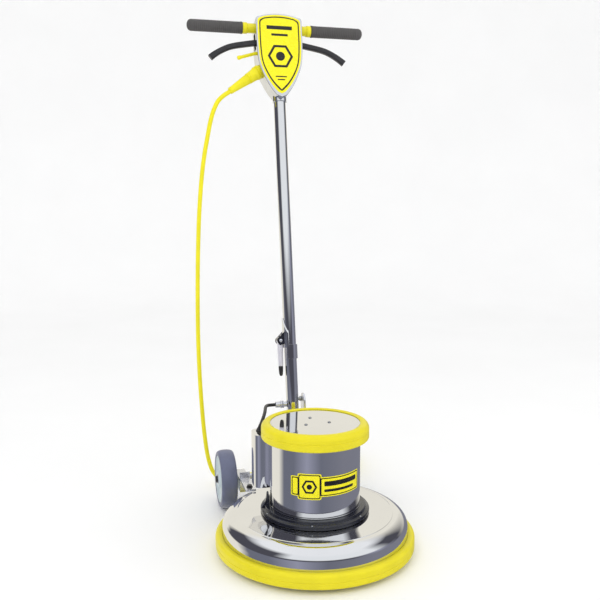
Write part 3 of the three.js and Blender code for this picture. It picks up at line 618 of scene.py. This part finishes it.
coil_low, coil_high = span("cord_coil")
COIL_CENTRE = Vector(((coil_low.x + coil_high.x) / 2, (coil_low.y + coil_high.y) / 2, 0))
COIL_OUTER = (coil_high.x - coil_low.x) / 2 - CORD_RADIUS
COIL_ROWS = 5
COIL_COLUMNS = 4
COIL_MEAN = COIL_OUTER - (COIL_COLUMNS - 1) * CORD_RADIUS
COIL_STEPS = 36
COIL_START = 290
COIL_SHIFT = 0.14
PLUG_BEARING = 30


def coil_point(bearing, radius, height):
    """A point over the coil: bearings are from X and grow anticlockwise seen from above."""
    a = radians(bearing)
    return COIL_CENTRE + Vector((radius * cos(a), radius * sin(a), height))


def coil_track(turn):
    """The radius and height of one turn: rows fill from the floor up, inward and then outward again."""
    row, place = divmod(turn, COIL_COLUMNS)
    column = place if row % 2 == 0 else COIL_COLUMNS - 1 - place
    radius = COIL_OUTER - column * 2 * CORD_RADIUS
    return radius, coil_low.z + CORD_RADIUS + row * 2 * CORD_RADIUS


def coil_line():
    """The turns of the coil, each of which shifts to the place of the next in its last stretch."""
    line = []
    for turn in range(COIL_ROWS * COIL_COLUMNS):
        here = coil_track(turn)
        there = coil_track(turn + 1)
        for step in range(COIL_STEPS):
            share = max(0.0, (step / COIL_STEPS - 1 + COIL_SHIFT) / COIL_SHIFT)
            ease = share * share * (3 - 2 * share)
            radius, height = (a + (b - a) * ease for a, b in zip(here, there))
            line.append(coil_point(COIL_START + 360 * step / COIL_STEPS, radius, height))
    return line


def plug_place():
    """The back of the plug, which lies on the coil, and the way it points."""
    a = radians(PLUG_BEARING)
    back = coil_point(PLUG_BEARING, COIL_MEAN, coil_high.z + 15.3)
    return back, Vector((-sin(a), cos(a), 0))


def add_supply_cord():
    """One cord from the strain relief to the plug, with its coil on the floor behind the machine."""
    start = HANDLE @ (EXIT + EXIT_WAY * (RELIEF_END - 8))
    low = coil_low.z + CORD_RADIUS
    top = coil_high.z + CORD_RADIUS
    lead_in = [
        coil_point(238, COIL_OUTER + 12.2, low - 0.2), coil_point(262, COIL_OUTER + 7, low),
        coil_point(280, COIL_OUTER + 2.4, low),
    ]
    turns = coil_line()
    back, ahead = plug_place()
    inner = COIL_OUTER - 2 * CORD_RADIUS * (COIL_COLUMNS - 1)
    tail = [
        coil_point(292, inner, top), coil_point(306, inner + 2.5, top + 0.3),
        coil_point(322, inner + 9, top + 0.3), coil_point(340, COIL_MEAN - 4, top + 1.5),
        coil_point(354, COIL_MEAN, top + 4.5), coil_point(368, COIL_MEAN, top + 8.4),
        back - ahead * 14, back + ahead * 4,
    ]
    hanging = [Vector(point) / MM for point in cord_route]
    route = smooth_path([start, *hanging, *lead_in, turns[0]])
    line = [*route[:-1], *turns, *smooth_path([turns[-1], *tail])[PATH_STEPS:]]
    for point in line:
        point.z = max(point.z, CORD_RADIUS)
    section = ellipse(0, 0, CORD_RADIUS, CORD_RADIUS, steps=12)
    cord = put("supply_cord", sweep(line, section), "yellow_jacket", None,
               ["power_cord", "cord_coil", "cord_tail"])
    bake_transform(cord)
    cord.visible_glossy = False
    plug = add_plug(back, ahead)
    band = cad_copy("cord_tie", "black_plastic", "base", 0.4, "cord_tie_band")


def add_plug(back, ahead):
    """A moulded three-pin plug with a waisted grip and finger ridges."""
    place = pointing(back, ahead)
    outline = [
        (0, 0.4), (7.4, 0.4), (8.2, 1.6), (8.6, 6), (9.4, 12), (12.6, 16.5), (14.6, 19), (15, 21.5),
        (14.2, 24), (15, 26.5), (14.2, 29), (15, 31.5), (14.2, 34), (15, 36.5), (15, 44), (14, 45.7),
        (0, 46),
    ]
    body = put("plug_body", lathe(outline, SMALL_SIDES), "black_plastic", "base", ["plug"], place=place)
    blade = rounded([(-0.8, -3.2, 0.5), (0.8, -3.2, 0.5), (0.8, 3.2, 0.5), (-0.8, 3.2, 0.5)], 2)
    blades = [moved(prism(blade, 44, 62), Matrix.Translation((x, 0, 0))) for x in (-6.4, 6.4)]
    earth = moved(lathe([(0, 44), (2.4, 44), (2.4, 61), (1.2, 63.6), (0, 64)], 16),
                  Matrix.Translation((0, 8, 0)))
    pins = put("plug_pins", joined(*blades, earth), "zinc_steel", "base", place=place)
    return body, pins


def add_motor_lead():
    """The black lead from the fitting on the tube down into the capacitor cover."""
    start = HANDLE @ Vector((-46, 0, LEAD_ALONG))
    bend = [Vector(point) / MM for point in lead_route]
    line = smooth_path([start, start - Vector((10, 0, 0)), *bend])
    section = ellipse(0, 0, LEAD_RADIUS, LEAD_RADIUS, steps=14)
    lead = put("motor_lead_jacket", sweep(line, section), "black_jacket", None, ["motor_lead"])
    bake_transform(lead)
    gland = lathe([
        (0, 16.2), (7, 16.2), (7, 23.6), (10, 24.2), (10, 26), (9.2, 27), (10, 28), (9.2, 29.2), (10, 30.4),
        (9.6, 32.6), (8, 33.4), (7.5, 45), (6.4, 46), (0, 46),
    ], SMALL_SIDES)
    gland = moved(gland, HANDLE @ pointing((0, 0, LEAD_ALONG), (-1, 0, 0)))
    put("lead_gland_body", gland, "zinc_steel", "handle", ["lead_gland"])
    collar = lathe([(0, 265.6), (8.5, 265.6), (8.5, 268), (6.6, 269.4), (6.2, 273), (0, 273)], SMALL_SIDES)
    put("lead_grommet", moved(collar, Matrix.Translation(LEAD_ENTRY)), "black_plastic", "base")


# Pad, driver, apron and bumpers


def add_pad():
    """The floor pad, a mat of fibres with a rounded edge, and the driver block that it hangs on."""
    low, high = span("floor_pad")
    radius = high.x
    rim = [
        (radius - 2.5, low.z), (radius - 0.6, low.z + 2.5), (radius, low.z + 8),
        (radius - 0.3, high.z - 6), (radius - 3, high.z),
    ]
    rings = [(radius * share, low.z) for share in (0, 0.25, 0.5, 0.75)]
    rings += rim
    rings += [(radius * share, high.z) for share in (0.75, 0.5, 0.25, 0)]
    pad = put("pad_disc", lathe(rings), "pad_fibre", "brush_drive", ["floor_pad"])
    cad_copy("pad_driver", "black_plastic", "brush_drive", 1.2, "pad_driver_block")


def add_apron():
    """The spun apron, with a fine bead where its shoulder starts."""
    rise = ellipse(180, 60, 36.4, 31, 0, 86, 22)
    under = ellipse(180, 60, 33.9, 28.5, 90, 0, 14)
    outline = [
        (216.4, 20), *rise, (181.6, 91.3), (180.6, 91.75), (179.4, 91.5), (150, 92.1), (97.5, 93),
        (97.5, 90.5), *under, (213.9, 20),
    ]
    put("apron_shell", lathe(outline, 192), "chrome_plate", "base", ["apron"])


def add_lower_bumper():
    """The bumper round the apron: a rolled top edge over a straight skirt, with a shallow groove between."""
    outline = [
        (212, 12), *ellipse(226.5, 18, 6, 6, -90, 0, 8), (232.4, 26.5), (231.7, 27.3), (231.7, 28),
        (232.5, 28.8), *ellipse(223.5, 37, 9, 9, 0, 82, 12), (218.4, 46.2), (216.7, 45.6), (216.7, 19.7),
        (212, 19.7),
    ]
    put("lower_bumper_ring", lathe(outline, 192), "yellow_rubber", "base", ["lower_bumper"])


def add_upper_bumper():
    """The bumper round the motor's top, rolled over its rim, with a groove above its lower band."""
    outline = [
        (105.3, 268), (119.6, 268), *ellipse(121, 272, 4, 4, -70, 0, 6), (125, 284), (124.3, 284.9),
        (124.3, 285.6), (125, 286.6), *ellipse(111, 291.3, 14, 14, 0, 92, 14), (108, 305.1), (105.6, 304),
        (104.2, 302.8), (105.3, 302.3),
    ]
    put("upper_bumper_ring", lathe(outline), "yellow_rubber", "base", ["upper_bumper"])


# Gear case and motor


def screw_mesh(radius, height):
    """A pan-head screw standing on z = 0, with a driver recess sunk in its crown."""
    return lathe([
        (0, -1.5), (radius * 0.6, -1.5), (radius * 0.6, 0), (radius, 0), (radius, height * 0.45),
        (radius * 0.72, height * 0.9), (radius * 0.42, height), (radius * 0.3, height * 0.45),
        (0, height * 0.45),
    ], 24)


def add_gearcase():
    outline = [
        (30, 60), (90, 60), *ellipse(90, 65, 5, 5, -80, 0, 6), (95, 93.3), (125.4, 93.3),
        *ellipse(124.6, 95.6, 2.4, 2.2, -60, 0, 5), (127, 99), *ellipse(124.2, 99.2, 2.8, 3, 10, 75, 6),
        (119, 103.6), (118.2, 104.4), (118, 107.6), *ellipse(115.6, 107.8, 2.4, 2.2, 10, 90, 5), (88, 110),
        (88, 65), (30, 65),
    ]
    ear = rounded([
        (-126, 99, 2), (-123.5, 105, 2), (-118, 113, 5), (-114.5, 123, 5), (-112.5, 136, 1.5),
        (-108.5, 136, 1.5), (-106.5, 123, 4), (-106, 103), (-112, 99),
    ], 3)
    plate = moved(prism(ear, -8, 8), Matrix.Rotation(radians(-10), 4, "Z") @ FACING)
    put("gearcase_casting", joined(lathe(outline), plate), "black_enamel", "base", ["gearcase"], bevel=0.6)
    for count, bearing in enumerate(range(192, 552, 60)):
        place = Matrix.Rotation(radians(bearing), 4, "Z") @ Matrix.Translation((121.6, 0, 102.6))
        put(f"flange_screw_{count + 1}", screw_mesh(2.8, 1.8), "gear_steel", "base", place=place)


def add_motor_cover():
    """The drawn drum, with a fine bead above its foot and a ledge inside for the top plate."""
    outline = [
        (103, 110.3), (105, 110.3), (105.4, 110.9), (105.4, 112), (105, 112.6), (105, 302),
        (103, 302), (103, 299), (96, 299), (96, 296.3), (103, 296.3),
    ]
    put("motor_drum", lathe(outline, 160), "chrome_plate", "base", ["motor_cover"])
    reach = 102.7
    rise = 0.9
    shares = (1, 0.98, 0.85, 0.65, 0.4, 0.15, 0)
    crown = [(reach * share, 302.1 + rise * (1 - share ** 2)) for share in shares]
    lid = lathe([(0, 299.3), (reach, 299.3), *crown])
    put("motor_lid", lid, "chrome_plate", "base", ["motor_top_plate"])
    for count, bearing in enumerate((96, 216, 336)):
        place = Matrix.Rotation(radians(bearing), 4, "Z") @ Matrix.Translation((33, 0, 302.9))
        put(f"lid_screw_{count + 1}", screw_mesh(3.8, 2.2), "gear_steel", "base", place=place)


def wrapped(outline, thickness):
    """An outline of (bearing from the front, height) points wrapped round the motor cover."""

    def build(bm):
        bm.faces.new([bm.verts.new((bearing, 0, z)) for bearing, z in outline])
        first = min(bearing for bearing, z in outline)
        last = max(bearing for bearing, z in outline)
        for cut in range(int(first // WRAP_STEP), int(last // WRAP_STEP) + 2):
            parts = [*bm.verts, *bm.edges, *bm.faces]
            place = (cut * WRAP_STEP, 0, 0)
            bmesh.ops.bisect_plane(bm, geom=parts, plane_co=place, plane_no=(1, 0, 0), dist=1e-4)
        bmesh.ops.triangulate(bm, faces=bm.faces)
        grown = bmesh.ops.extrude_face_region(bm, geom=bm.faces[:])
        raised = {part for part in grown["geom"] if isinstance(part, bmesh.types.BMVert)}
        for vert in bm.verts:
            radius = BADGE_INNER + (thickness if vert in raised else 0)
            a = radians(vert.co.x)
            vert.co = (radius * sin(a), -radius * cos(a), vert.co.z)

    return mesh_from(build)


def box_outline(left, right, low, high, cut, steps=5):
    return rounded([(left, low, cut), (right, low, cut), (right, high, cut), (left, high, cut)], steps)


def hex_outline(reach):
    return [(reach * cos(pi * i / 3), reach * sin(pi * i / 3)) for i in range(6)]


def add_badge():
    """A plain printed badge on the motor's front: two bars on a ribbon, and a hexagon in a square."""
    film = finishes["yellow_film"]
    middle, height = -22, 185.5
    across, up = 9.4, 17.2

    def emblem(outline, share):
        return [(middle + share * across * x, height + share * up * z) for x, z in outline]

    ribbon_field = [box_outline(-43.1, -36.6, 167.4, 203.6, 2), box_outline(-7.4, 47.6, 167.4, 203.6, 2)]
    bars = [box_outline(-4, 44, 187, 198, 1.2, 3), box_outline(-4, 38, 174, 180, 1.2, 3)]
    layers = [
        ("badge_base", [box_outline(-45.5, 50, 163, 208, 3), box_outline(-36.5, -7.5, 156, 215, 3.5)],
         0.45, film),
        ("badge_border", [box_outline(-44.3, 48.8, 165.2, 205.8, 2.4),
                          box_outline(-35.3, -8.7, 158.2, 212.8, 3)], 0.6, ink_black),
        ("badge_field", [*ribbon_field, box_outline(-34.1, -9.9, 160.4, 210.6, 2.6)], 0.75, film),
        ("badge_emblem", [emblem(hex_outline(1), 1)], 0.9, ink_black),
        ("badge_emblem_field", [emblem(hex_outline(1), 0.72)], 1.0, film),
        ("badge_emblem_dot", [emblem(ellipse(0, 0, 1, 1), 0.34)], 1.1, ink_black),
        ("badge_bars", bars, 0.9, ink_black),
    ]
    for name, outlines, thickness, finish in layers:
        mesh = joined(*[wrapped(outline, thickness) for outline in outlines])
        stands_for = ["motor_badge"] if name == "badge_base" else []
        piece = put(name, mesh, "yellow_film", "base", stands_for, finish=finish)
        piece.visible_glossy = False


def add_capacitor():
    """The pressed cover on the motor's left side, and the capacitor in it."""
    low, high = span("capacitor_cover")
    corner = 18
    wall = 2

    def shell(inset, extra):
        left, right = low.x + inset, -58 + extra
        front, back = low.y + inset, high.y - inset
        cut = corner - inset
        outline = rounded([(right, front), (right, back), (left, back, cut), (left, front, cut)], 8)
        return prism(outline, low.z + inset, high.z - inset)

    drum = lathe([(0, low.z - 5), (105.3, low.z - 5), (105.3, high.z + 5), (0, high.z + 5)], 160)
    box = carved(shell(0, 0), shell(wall, 1), drum)
    put("capacitor_shell", box, "chrome_plate", "base", ["capacitor_cover"], bevel=1.2)
    can = [
        (0, 149), (14.2, 149), (15.5, 150.4), (15.5, 232), (14.6, 233.6), (15.5, 235), (14.8, 237), (0, 237),
    ]
    put("capacitor_can", moved(lathe(can, SMALL_SIDES), Matrix.Translation((-114.5, 68, 0))),
        "black_plastic", "base", ["start_capacitor"])


# Truck


def add_truck():
    cad_copy("yoke_bracket", "zinc_steel", "base", 0.8)
    pivot = pointing(tilt_pivot, (1, 0, 0))
    shank = lathe([(0, -28.8), (6, -28.8), (6, 28.8), (0, 28.8)], 24)
    washers = [lathe([(0, z), (9.4, z), (9.4, z + 1.4), (0, z + 1.4)], 32) for z in (-30.2, 28.8)]
    heads = [prism(hex_outline(8.6), z, z + 4.3) for z in (-34.5, 30.2)]
    put("pivot_bolt_set", joined(shank, *washers, *heads), "zinc_steel", "base", ["pivot_bolt"],
        place=pivot, bevel=0.5)
    low, high = span("axle")
    centre = Vector((0, (low.y + high.y) / 2, (low.z + high.z) / 2))
    end = high.x
    half = [(8, end - 7), (13, end - 7), (13, end - 5.6), (12.6, end - 5.2), (9.4, end - 5.2)]
    cap = [(9.4, end - 5.4), (9.2, end - 2.6), (7.6, end - 0.9), (4.4, end - 0.1), (0, end)]
    other = [(radius, -x) for radius, x in reversed(half)]
    rod = lathe([(0, 5.3 - end), *other, *half, (0, end - 5.3)], SMALL_SIDES)
    put("axle_rod", rod, "zinc_steel", "base", ["axle"], place=pointing(centre, (1, 0, 0)))
    for name, way in (("left", -1), ("right", 1)):
        put(f"axle_cap_{name}", lathe([(0, end - 5.4), *cap], SMALL_SIDES), "black_plastic", "base",
            place=pointing(centre, (way, 0, 0)))
        cad_copy(f"axle_bracket_{name}", "zinc_steel", "base", 1.0)
        foot = Matrix.Translation((126 * way, 160, 97.8))
        bolt = joined(lathe([(0, 0), (8, 0), (8, 1.4), (0, 1.4)], 32), prism(hex_outline(6.4), 1.4, 6))
        put(f"axle_bracket_bolt_{name}", bolt, "black_plastic", "base", place=foot, bevel=0.5)
        add_wheel(name, way, centre)


def add_wheel(name, way, centre):
    """A moulded hub with a dished face and raised rings, and a plain tyre with a crowned tread."""
    place = pointing(centre, (way, 0, 0))
    body = f"wheel_{name}"
    outer = 187
    inner = 145
    hub = [
        (8.3, inner + 1), (19, inner + 1), (20.4, inner + 2.4), (22, inner + 6), (58, inner + 3.4),
        (61, inner + 3.4), (61, outer - 2.2), (59.8, outer - 1.2), (56.4, outer - 1.2), (54.6, outer - 4.4),
        (46, outer - 6), (44.4, outer - 5.2), (42.4, outer - 5.2), (41, outer - 6.4), (26, outer - 6),
        (22.5, outer - 3), (20.5, outer - 0.4), (19, outer), (8.3, outer),
    ]
    put(f"wheel_hub_{name}_moulding", lathe(hub, 96), "wheel_plastic", body, [f"wheel_hub_{name}"],
        place=place)
    middle = (inner + outer) / 2
    half = (outer - inner) / 2
    crown = [(63 + 13 * cos(a) ** 0.42, middle + half * sin(a))
             for a in (radians(-84 + 12 * i) for i in range(15))]
    tyre = [(61.3, inner + 1), (63.4, inner + 0.4), *crown, (63.4, outer - 0.4), (61.3, outer - 1)]
    put(f"tyre_{name}_tread", lathe(tyre, 96), "wheel_tread", body, [f"tyre_{name}"], place=place)


# Handle


def add_tube():
    cad_copy("handle_foot", "cast_alloy", "handle", 0.8)
    tube = lathe([(13.9, 150), (TUBE_RADIUS, 150), (TUBE_RADIUS, 1170), (13.9, 1170)], 96)
    hole = lathe([(0, 6), (4.5, 6), (4.5, 22), (0, 22)], 24)
    bored = carved(tube, moved(hole, pointing((0, 0, LOCK_ALONG), (1, 0, 0))))
    put("handle_tube_bar", bored, "chrome_plate", "handle", ["handle_tube"], place=HANDLE)
    plunger = lathe([
        (0, 2), (4, 2), (4, 19), (6.2, 19), (6.5, 19.6), (6.5, 22.4), (5.6, 23.2), (0, 23.2),
    ], 32)
    put("lock_plunger_pin", plunger, "gear_steel", "lock_plunger", ["lock_plunger"],
        place=HANDLE @ pointing((0, 0, LOCK_ALONG), (1, 0, 0)))


def arc(x, y, radius, bearings):
    """Points on a circle at the bearings given."""
    return [(x + radius * cos(radians(b)), y + radius * sin(radians(b))) for b in bearings]


def add_release_lever():
    """The lever that frees the tilt: a bracket with black cheeks and cap, a bright arm and a dark tip."""
    cad_copy("release_bracket", "chrome_plate", "handle", 0.5)
    hump = arc(LEVER_X, LEVER_ALONG, CHEEK_RADIUS, range(225, 105, -8))
    cheek = [(-16.6, 450), (-30, 445.6), *hump, (-16.6, 481)]
    for name, low in (("front", 12.4), ("back", -13.9)):
        plate = moved(prism(cheek, low, low + 1.5), FACING)
        put(f"release_cheek_{name}", plate, "black_enamel", "handle", place=HANDLE, bevel=0.4)
    outside = arc(LEVER_X, LEVER_ALONG, CHEEK_RADIUS, range(100, 186, 8))
    inside = arc(LEVER_X, LEVER_ALONG, CHEEK_RADIUS - 1.1, range(180, 92, -8))
    cap = moved(prism([*outside, *inside], -12.3, 12.3), FACING)
    put("release_cap", cap, "black_enamel", "handle", place=HANDLE)
    for name, way in (("front", -1), ("back", 1)):
        head = lathe([(0, -0.8), (4, -0.8), (4, 0.2), (3, 0.8), (0, 0.9)], 32)
        put(f"release_pin_head_{name}", head, "zinc_steel", "handle",
            place=HANDLE @ pointing((LEVER_X, 14.2 * way, LEVER_ALONG), (0, way, 0)))
    place = HANDLE @ Matrix.Translation((LEVER_X, 0, 0))
    arm = lathe([
        (0, 392), (5.6, 392), (6.4, 393.4), (7, 410), (7.6, 440), (7.6, 452), (6.2, LEVER_ALONG),
        (0, LEVER_ALONG + 1),
    ], SMALL_SIDES)
    hub = lathe([(0, -8.3), (7, -8.3), (7.5, -7.6), (7.5, 7.6), (7, 8.3), (0, 8.3)], SMALL_SIDES)
    hub = moved(hub, pointing((0, 0, LEVER_ALONG), (0, 1, 0)))
    put("release_lever_arm", joined(arm, hub), "zinc_steel", "release_lever", ["release_lever"],
        place=place, finish=bright_plate)
    tip = lathe([
        (0, 366), (2.2, 366.3), (3.8, 368), (4.8, 371.5), (5.6, 379), (6, 387), (6, 391), (5.4, 391.7),
        (0, 391.7),
    ], SMALL_SIDES)
    put("release_lever_knob", tip, "black_plastic", "release_lever", ["release_lever_tip"], place=place)


def head_outline(inset):
    """The housing's outline seen from the front: a low crown, slightly bowed flanks and a tapered tip.

    An inset outline is also lifted near the tip, so that the border round it stays as wide there.
    """
    flank = [
        (HEAD_HALF, HEAD_SHOULDER), (61.5, 1262), (61, 1225), (57, 1182), (46, 1150), (29, 1118), (14, 1098),
    ]
    lift = 3.33 * inset ** 0.7
    height = HEAD_SHOULDER - HEAD_TIP
    side = []
    for point in smooth_path([(x, z, 0) for x, z in flank]):
        rise = lift * ((HEAD_SHOULDER - point.y) / height) ** 3
        side.append((point.x - inset, point.y + rise))
    crown = [(x, HEAD_CROWN - inset - 11 * (x / HEAD_HALF) ** 2) for x in range(40, -50, -10)]
    shoulder = (side[0][0], HEAD_SHOULDER - inset, 5 + 0.6 * inset)
    corner = rounded([side[3], shoulder, crown[0]], 5)[1:-1]
    right = [*reversed(side[3:]), *corner]
    left = [(-x, z) for x, z in reversed(right)]
    return [(0, HEAD_TIP + 1.08 * lift), *right, *crown, *left]


def bar_of(low, high, radius, sides=SMALL_SIDES):
    return lathe([(0, low), (radius, low), (radius, high), (0, high)], sides)


def add_switch_housing():
    """The cast housing, open inside, with its neck, its cord boss, the levers' slot and the cover."""
    wall = 3
    shell = prism(head_outline(0), HOUSING_BACK, HOUSING_FRONT)
    hollow = prism(head_outline(wall), HOUSING_BACK + wall, HOUSING_FRONT + 2)
    case = moved(carved(shell, hollow), FACING)
    body = carved(
        case, bar_of(1080, 1160, 16.2, 64),
        moved(bar_of(-85, 85, BAR_RADIUS + 0.3, 64), pointing((0, 0, GRIP_ALONG), (1, 0, 0))),
        moved(bar_of(-40, 20, 8.6), pointing(EXIT, EXIT_WAY)),
        moved(prism([(-70, 1222), (70, 1222), (70, 1266), (-70, 1266)], -5, 17), FACING),
        moved(bar_of(-5, 30, 4.9), pointing(PIN_START, PIN_WAY)),
    )
    put("switch_housing_case", body, "cast_alloy", "handle", ["switch_housing"], place=HANDLE)
    neck = lathe([(16.2, 1087), (18, 1087), (18.6, 1087.6), (18.6, 1124), (16.2, 1124)], 64)
    put("switch_housing_neck", neck, "cast_alloy", "handle", place=HANDLE)
    flange = lathe([(8.7, 0.6), (17.2, 0.6), (18, 1.4), (18, 8.2), (17.2, 9), (8.7, 9)], 64)
    put("switch_housing_boss", flange, "yellow_plastic", "handle", place=HANDLE @ pointing(EXIT, EXIT_WAY))
    plate = moved(prism(head_outline(0), HOUSING_FRONT + 0.3, COVER_FACE), FACING)
    put("switch_cover", plate, "cast_alloy", "handle", ["switch_cover_plate"], place=HANDLE, bevel=1.1)


def band(outer, inner, low, high):
    """A flat strip between two outlines that have the same number of points."""
    rings = [((*o, low), (*o, high), (*i, high), (*i, low)) for o, i in zip(outer, inner)]
    return skin(rings, closed_path=True)


def add_face_label():
    """A printed film on the cover: a pinstripe, a few plain bars and a hexagon round a dot."""
    face = COVER_FACE + 0.05
    put("face_film", moved(prism(head_outline(4), face, face + 0.4), FACING), "yellow_film", "handle",
        ["face_label"], place=HANDLE)
    stripe = moved(band(head_outline(8.2), head_outline(11.4), face, face + 0.5), FACING)
    put("face_pinstripe", stripe, "yellow_film", "handle", place=HANDLE, finish=ink_black)
    top = face + 0.55
    bars = []
    for centre, half, height in ((1276, 34, 10), (1257, 22, 6), (1146, 15, 3), (1138, 10, 3)):
        outline = box_outline(-half, half, centre - height / 2, centre + height / 2, 1.2, 3)
        bars.append(prism(outline, face, top))
    put("face_bars", moved(joined(*bars), FACING), "yellow_film", "handle", place=HANDLE, finish=ink_black)
    middle = Matrix.Translation((0, 1200, 0))
    marks = [
        ("ring", band(hex_outline(34), hex_outline(27), face, top)),
        ("dot", prism(ellipse(0, 0, 12, 12), face, top)),
    ]
    for name, mesh in marks:
        put(f"face_emblem_{name}", moved(mesh, FACING @ middle), "yellow_film", "handle", place=HANDLE,
            finish=ink_black)


def add_grips():
    """The crossbar with a collar and a ribbed rubber grip on each side."""
    cross = HANDLE @ pointing((0, 0, GRIP_ALONG), (1, 0, 0))
    put("handle_crossbar", bar_of(-232, 232, BAR_RADIUS, 64), "yellow_paint", "handle", ["handle_bar"],
        place=cross)
    ridges = []
    groove = GRIP_RADIUS - 0.3
    for x in range(101, 221, 5):
        ridges += [(GRIP_RADIUS, x), (GRIP_RADIUS, x + 3.6), (groove, x + 4.1), (groove, x + 4.5)]
    crown = []
    for bearing in (15, 30, 45, 58, 70, 80):
        a = radians(bearing)
        crown.append((GRIP_RADIUS * cos(a) ** 0.8, 226 + 12 * sin(a)))
    grip = [
        (12.9, 93), (15.2, 93), (15.5, 94), (15.5, 97.4), (15.1, 98.8), *ridges, (GRIP_RADIUS, 226), *crown,
        (0, 238), (0, 233.2), (12.9, 233.2),
    ]
    collar = [(12.8, 80), (14, 80.4), (14.6, 81.4), (14.6, 91), (14, 92.2), (12.8, 92.6)]
    for name, way in (("left", -1), ("right", 1)):
        place = HANDLE @ pointing((0, 0, GRIP_ALONG), (way, 0, 0))
        put(f"grip_collar_{name}", lathe(collar, 64), "yellow_plastic", "handle", place=place)
        put(f"grip_{name}_sleeve", lathe(grip, 64), "grip_rubber", "handle", [f"grip_{name}"], place=place)
        add_squeeze_lever(name, way)


def add_squeeze_lever(name, way):
    """An arched blade with a blunt tip, on an eye inside the housing."""
    middle = smooth_path([
        (44, 0, 1243.4), (52, 0, 1243), (84, 0, 1238), (128, 0, 1228.5), (152, 0, 1217.5), (168, 0, 1207.5),
        (181, 0, 1197.5),
    ])
    rings = []
    last = len(middle) - 1
    for i, here in enumerate(middle):
        ahead = (middle[min(i + 1, last)] - middle[max(i - 1, 0)]).normalized()
        up = Vector((-ahead.z, 0, ahead.x))
        half = 8 - 0.9 * sin(pi * i / last)
        section = rounded([(-13, -half, 3.2), (-1, -half, 3.2), (-1, half, 3.2), (-13, half, 3.2)], 4)
        rings.append([here + Vector((0, y, 0)) + up * z for y, z in section])
    blade = skin(rings)
    eye = moved(bar_of(1, 13, 9), Matrix.Translation((46, 0, 1243)) @ Matrix.Rotation(pi / 2, 4, "X"))
    mesh = joined(blade, eye)
    if way < 0:
        mesh = moved(mesh, Matrix.Scale(-1, 4, (1, 0, 0)))
        mesh.flip_normals()
    put(f"squeeze_lever_{name}_blade", mesh, "black_plastic", f"squeeze_lever_{name}",
        [f"squeeze_lever_{name}"], place=HANDLE, bevel=0.8, angle=50)


def add_lock_pin():
    """The yellow pin that locks the levers, with a rounded button on its end."""
    pin = lathe([
        (0, 0), (3.6, 0), (4.3, 0.8), (4.3, 58), (4.7, 59), (5.2, 60.5), (5.3, 66), (4.6, 68.2), (3, 69),
        (0, 69),
    ], 32)
    put("safety_lock_button", pin, "yellow_plastic", "safety_lock_pin", ["safety_lock_pin"],
        place=HANDLE @ pointing(PIN_START, PIN_WAY))


def add_cord_exit():
    """The flared gland on the housing and the ribbed relief that tapers down to the cord."""
    place = HANDLE @ pointing(EXIT, EXIT_WAY)
    gland = lathe([
        (6.1, -14), (8.3, -14), (8.3, 9.3), (17, 9.3), (18, 10.4), (18, 14.2), (17.2, 15.4), (15.8, 18.6),
        (14.8, 28), (14.2, 38.6), (13.6, 40), (6.1, 40),
    ], 64)
    put("cord_gland_flare", gland, "yellow_plastic", "handle", ["cord_gland"], place=place)
    ribs = []
    for i in range(9):
        x = 43 + 6 * i
        radius = 13.1 - 0.5 * i
        ribs += [(radius, x), (radius - 0.1, x + 4), (radius - 0.5, x + 4.4), (radius - 0.5, x + 5.4)]
    relief = lathe([
        (6.1, 40.3), (12.6, 40.3), (13.2, 41), *ribs, (9.1, 97), (8.6, 99.4), (7.4, 100), (6.1, 100),
    ], 48)
    put("strain_relief_sleeve", relief, "yellow_jacket", "handle", ["strain_relief"], place=place)


def finish_hidden_pieces():
    """The gears, shafts and other CAD pieces that stay as they are take their slot's finish."""
    for part in frame["record"]["subparts"]:
        node = nodes[part["node"]]
        node.data.materials.clear()
        node.data.materials.append(finishes[part["material_slot"]])


add_camera()
add_floor()
add_studio()
finish_hidden_pieces()
add_supply_cord()
add_motor_lead()
add_pad()
add_apron()
add_lower_bumper()
add_upper_bumper()
add_gearcase()
add_motor_cover()
add_badge()
add_capacitor()
add_truck()
add_tube()
add_release_lever()
add_switch_housing()
add_face_label()
add_grips()
add_lock_pin()
add_cord_exit()
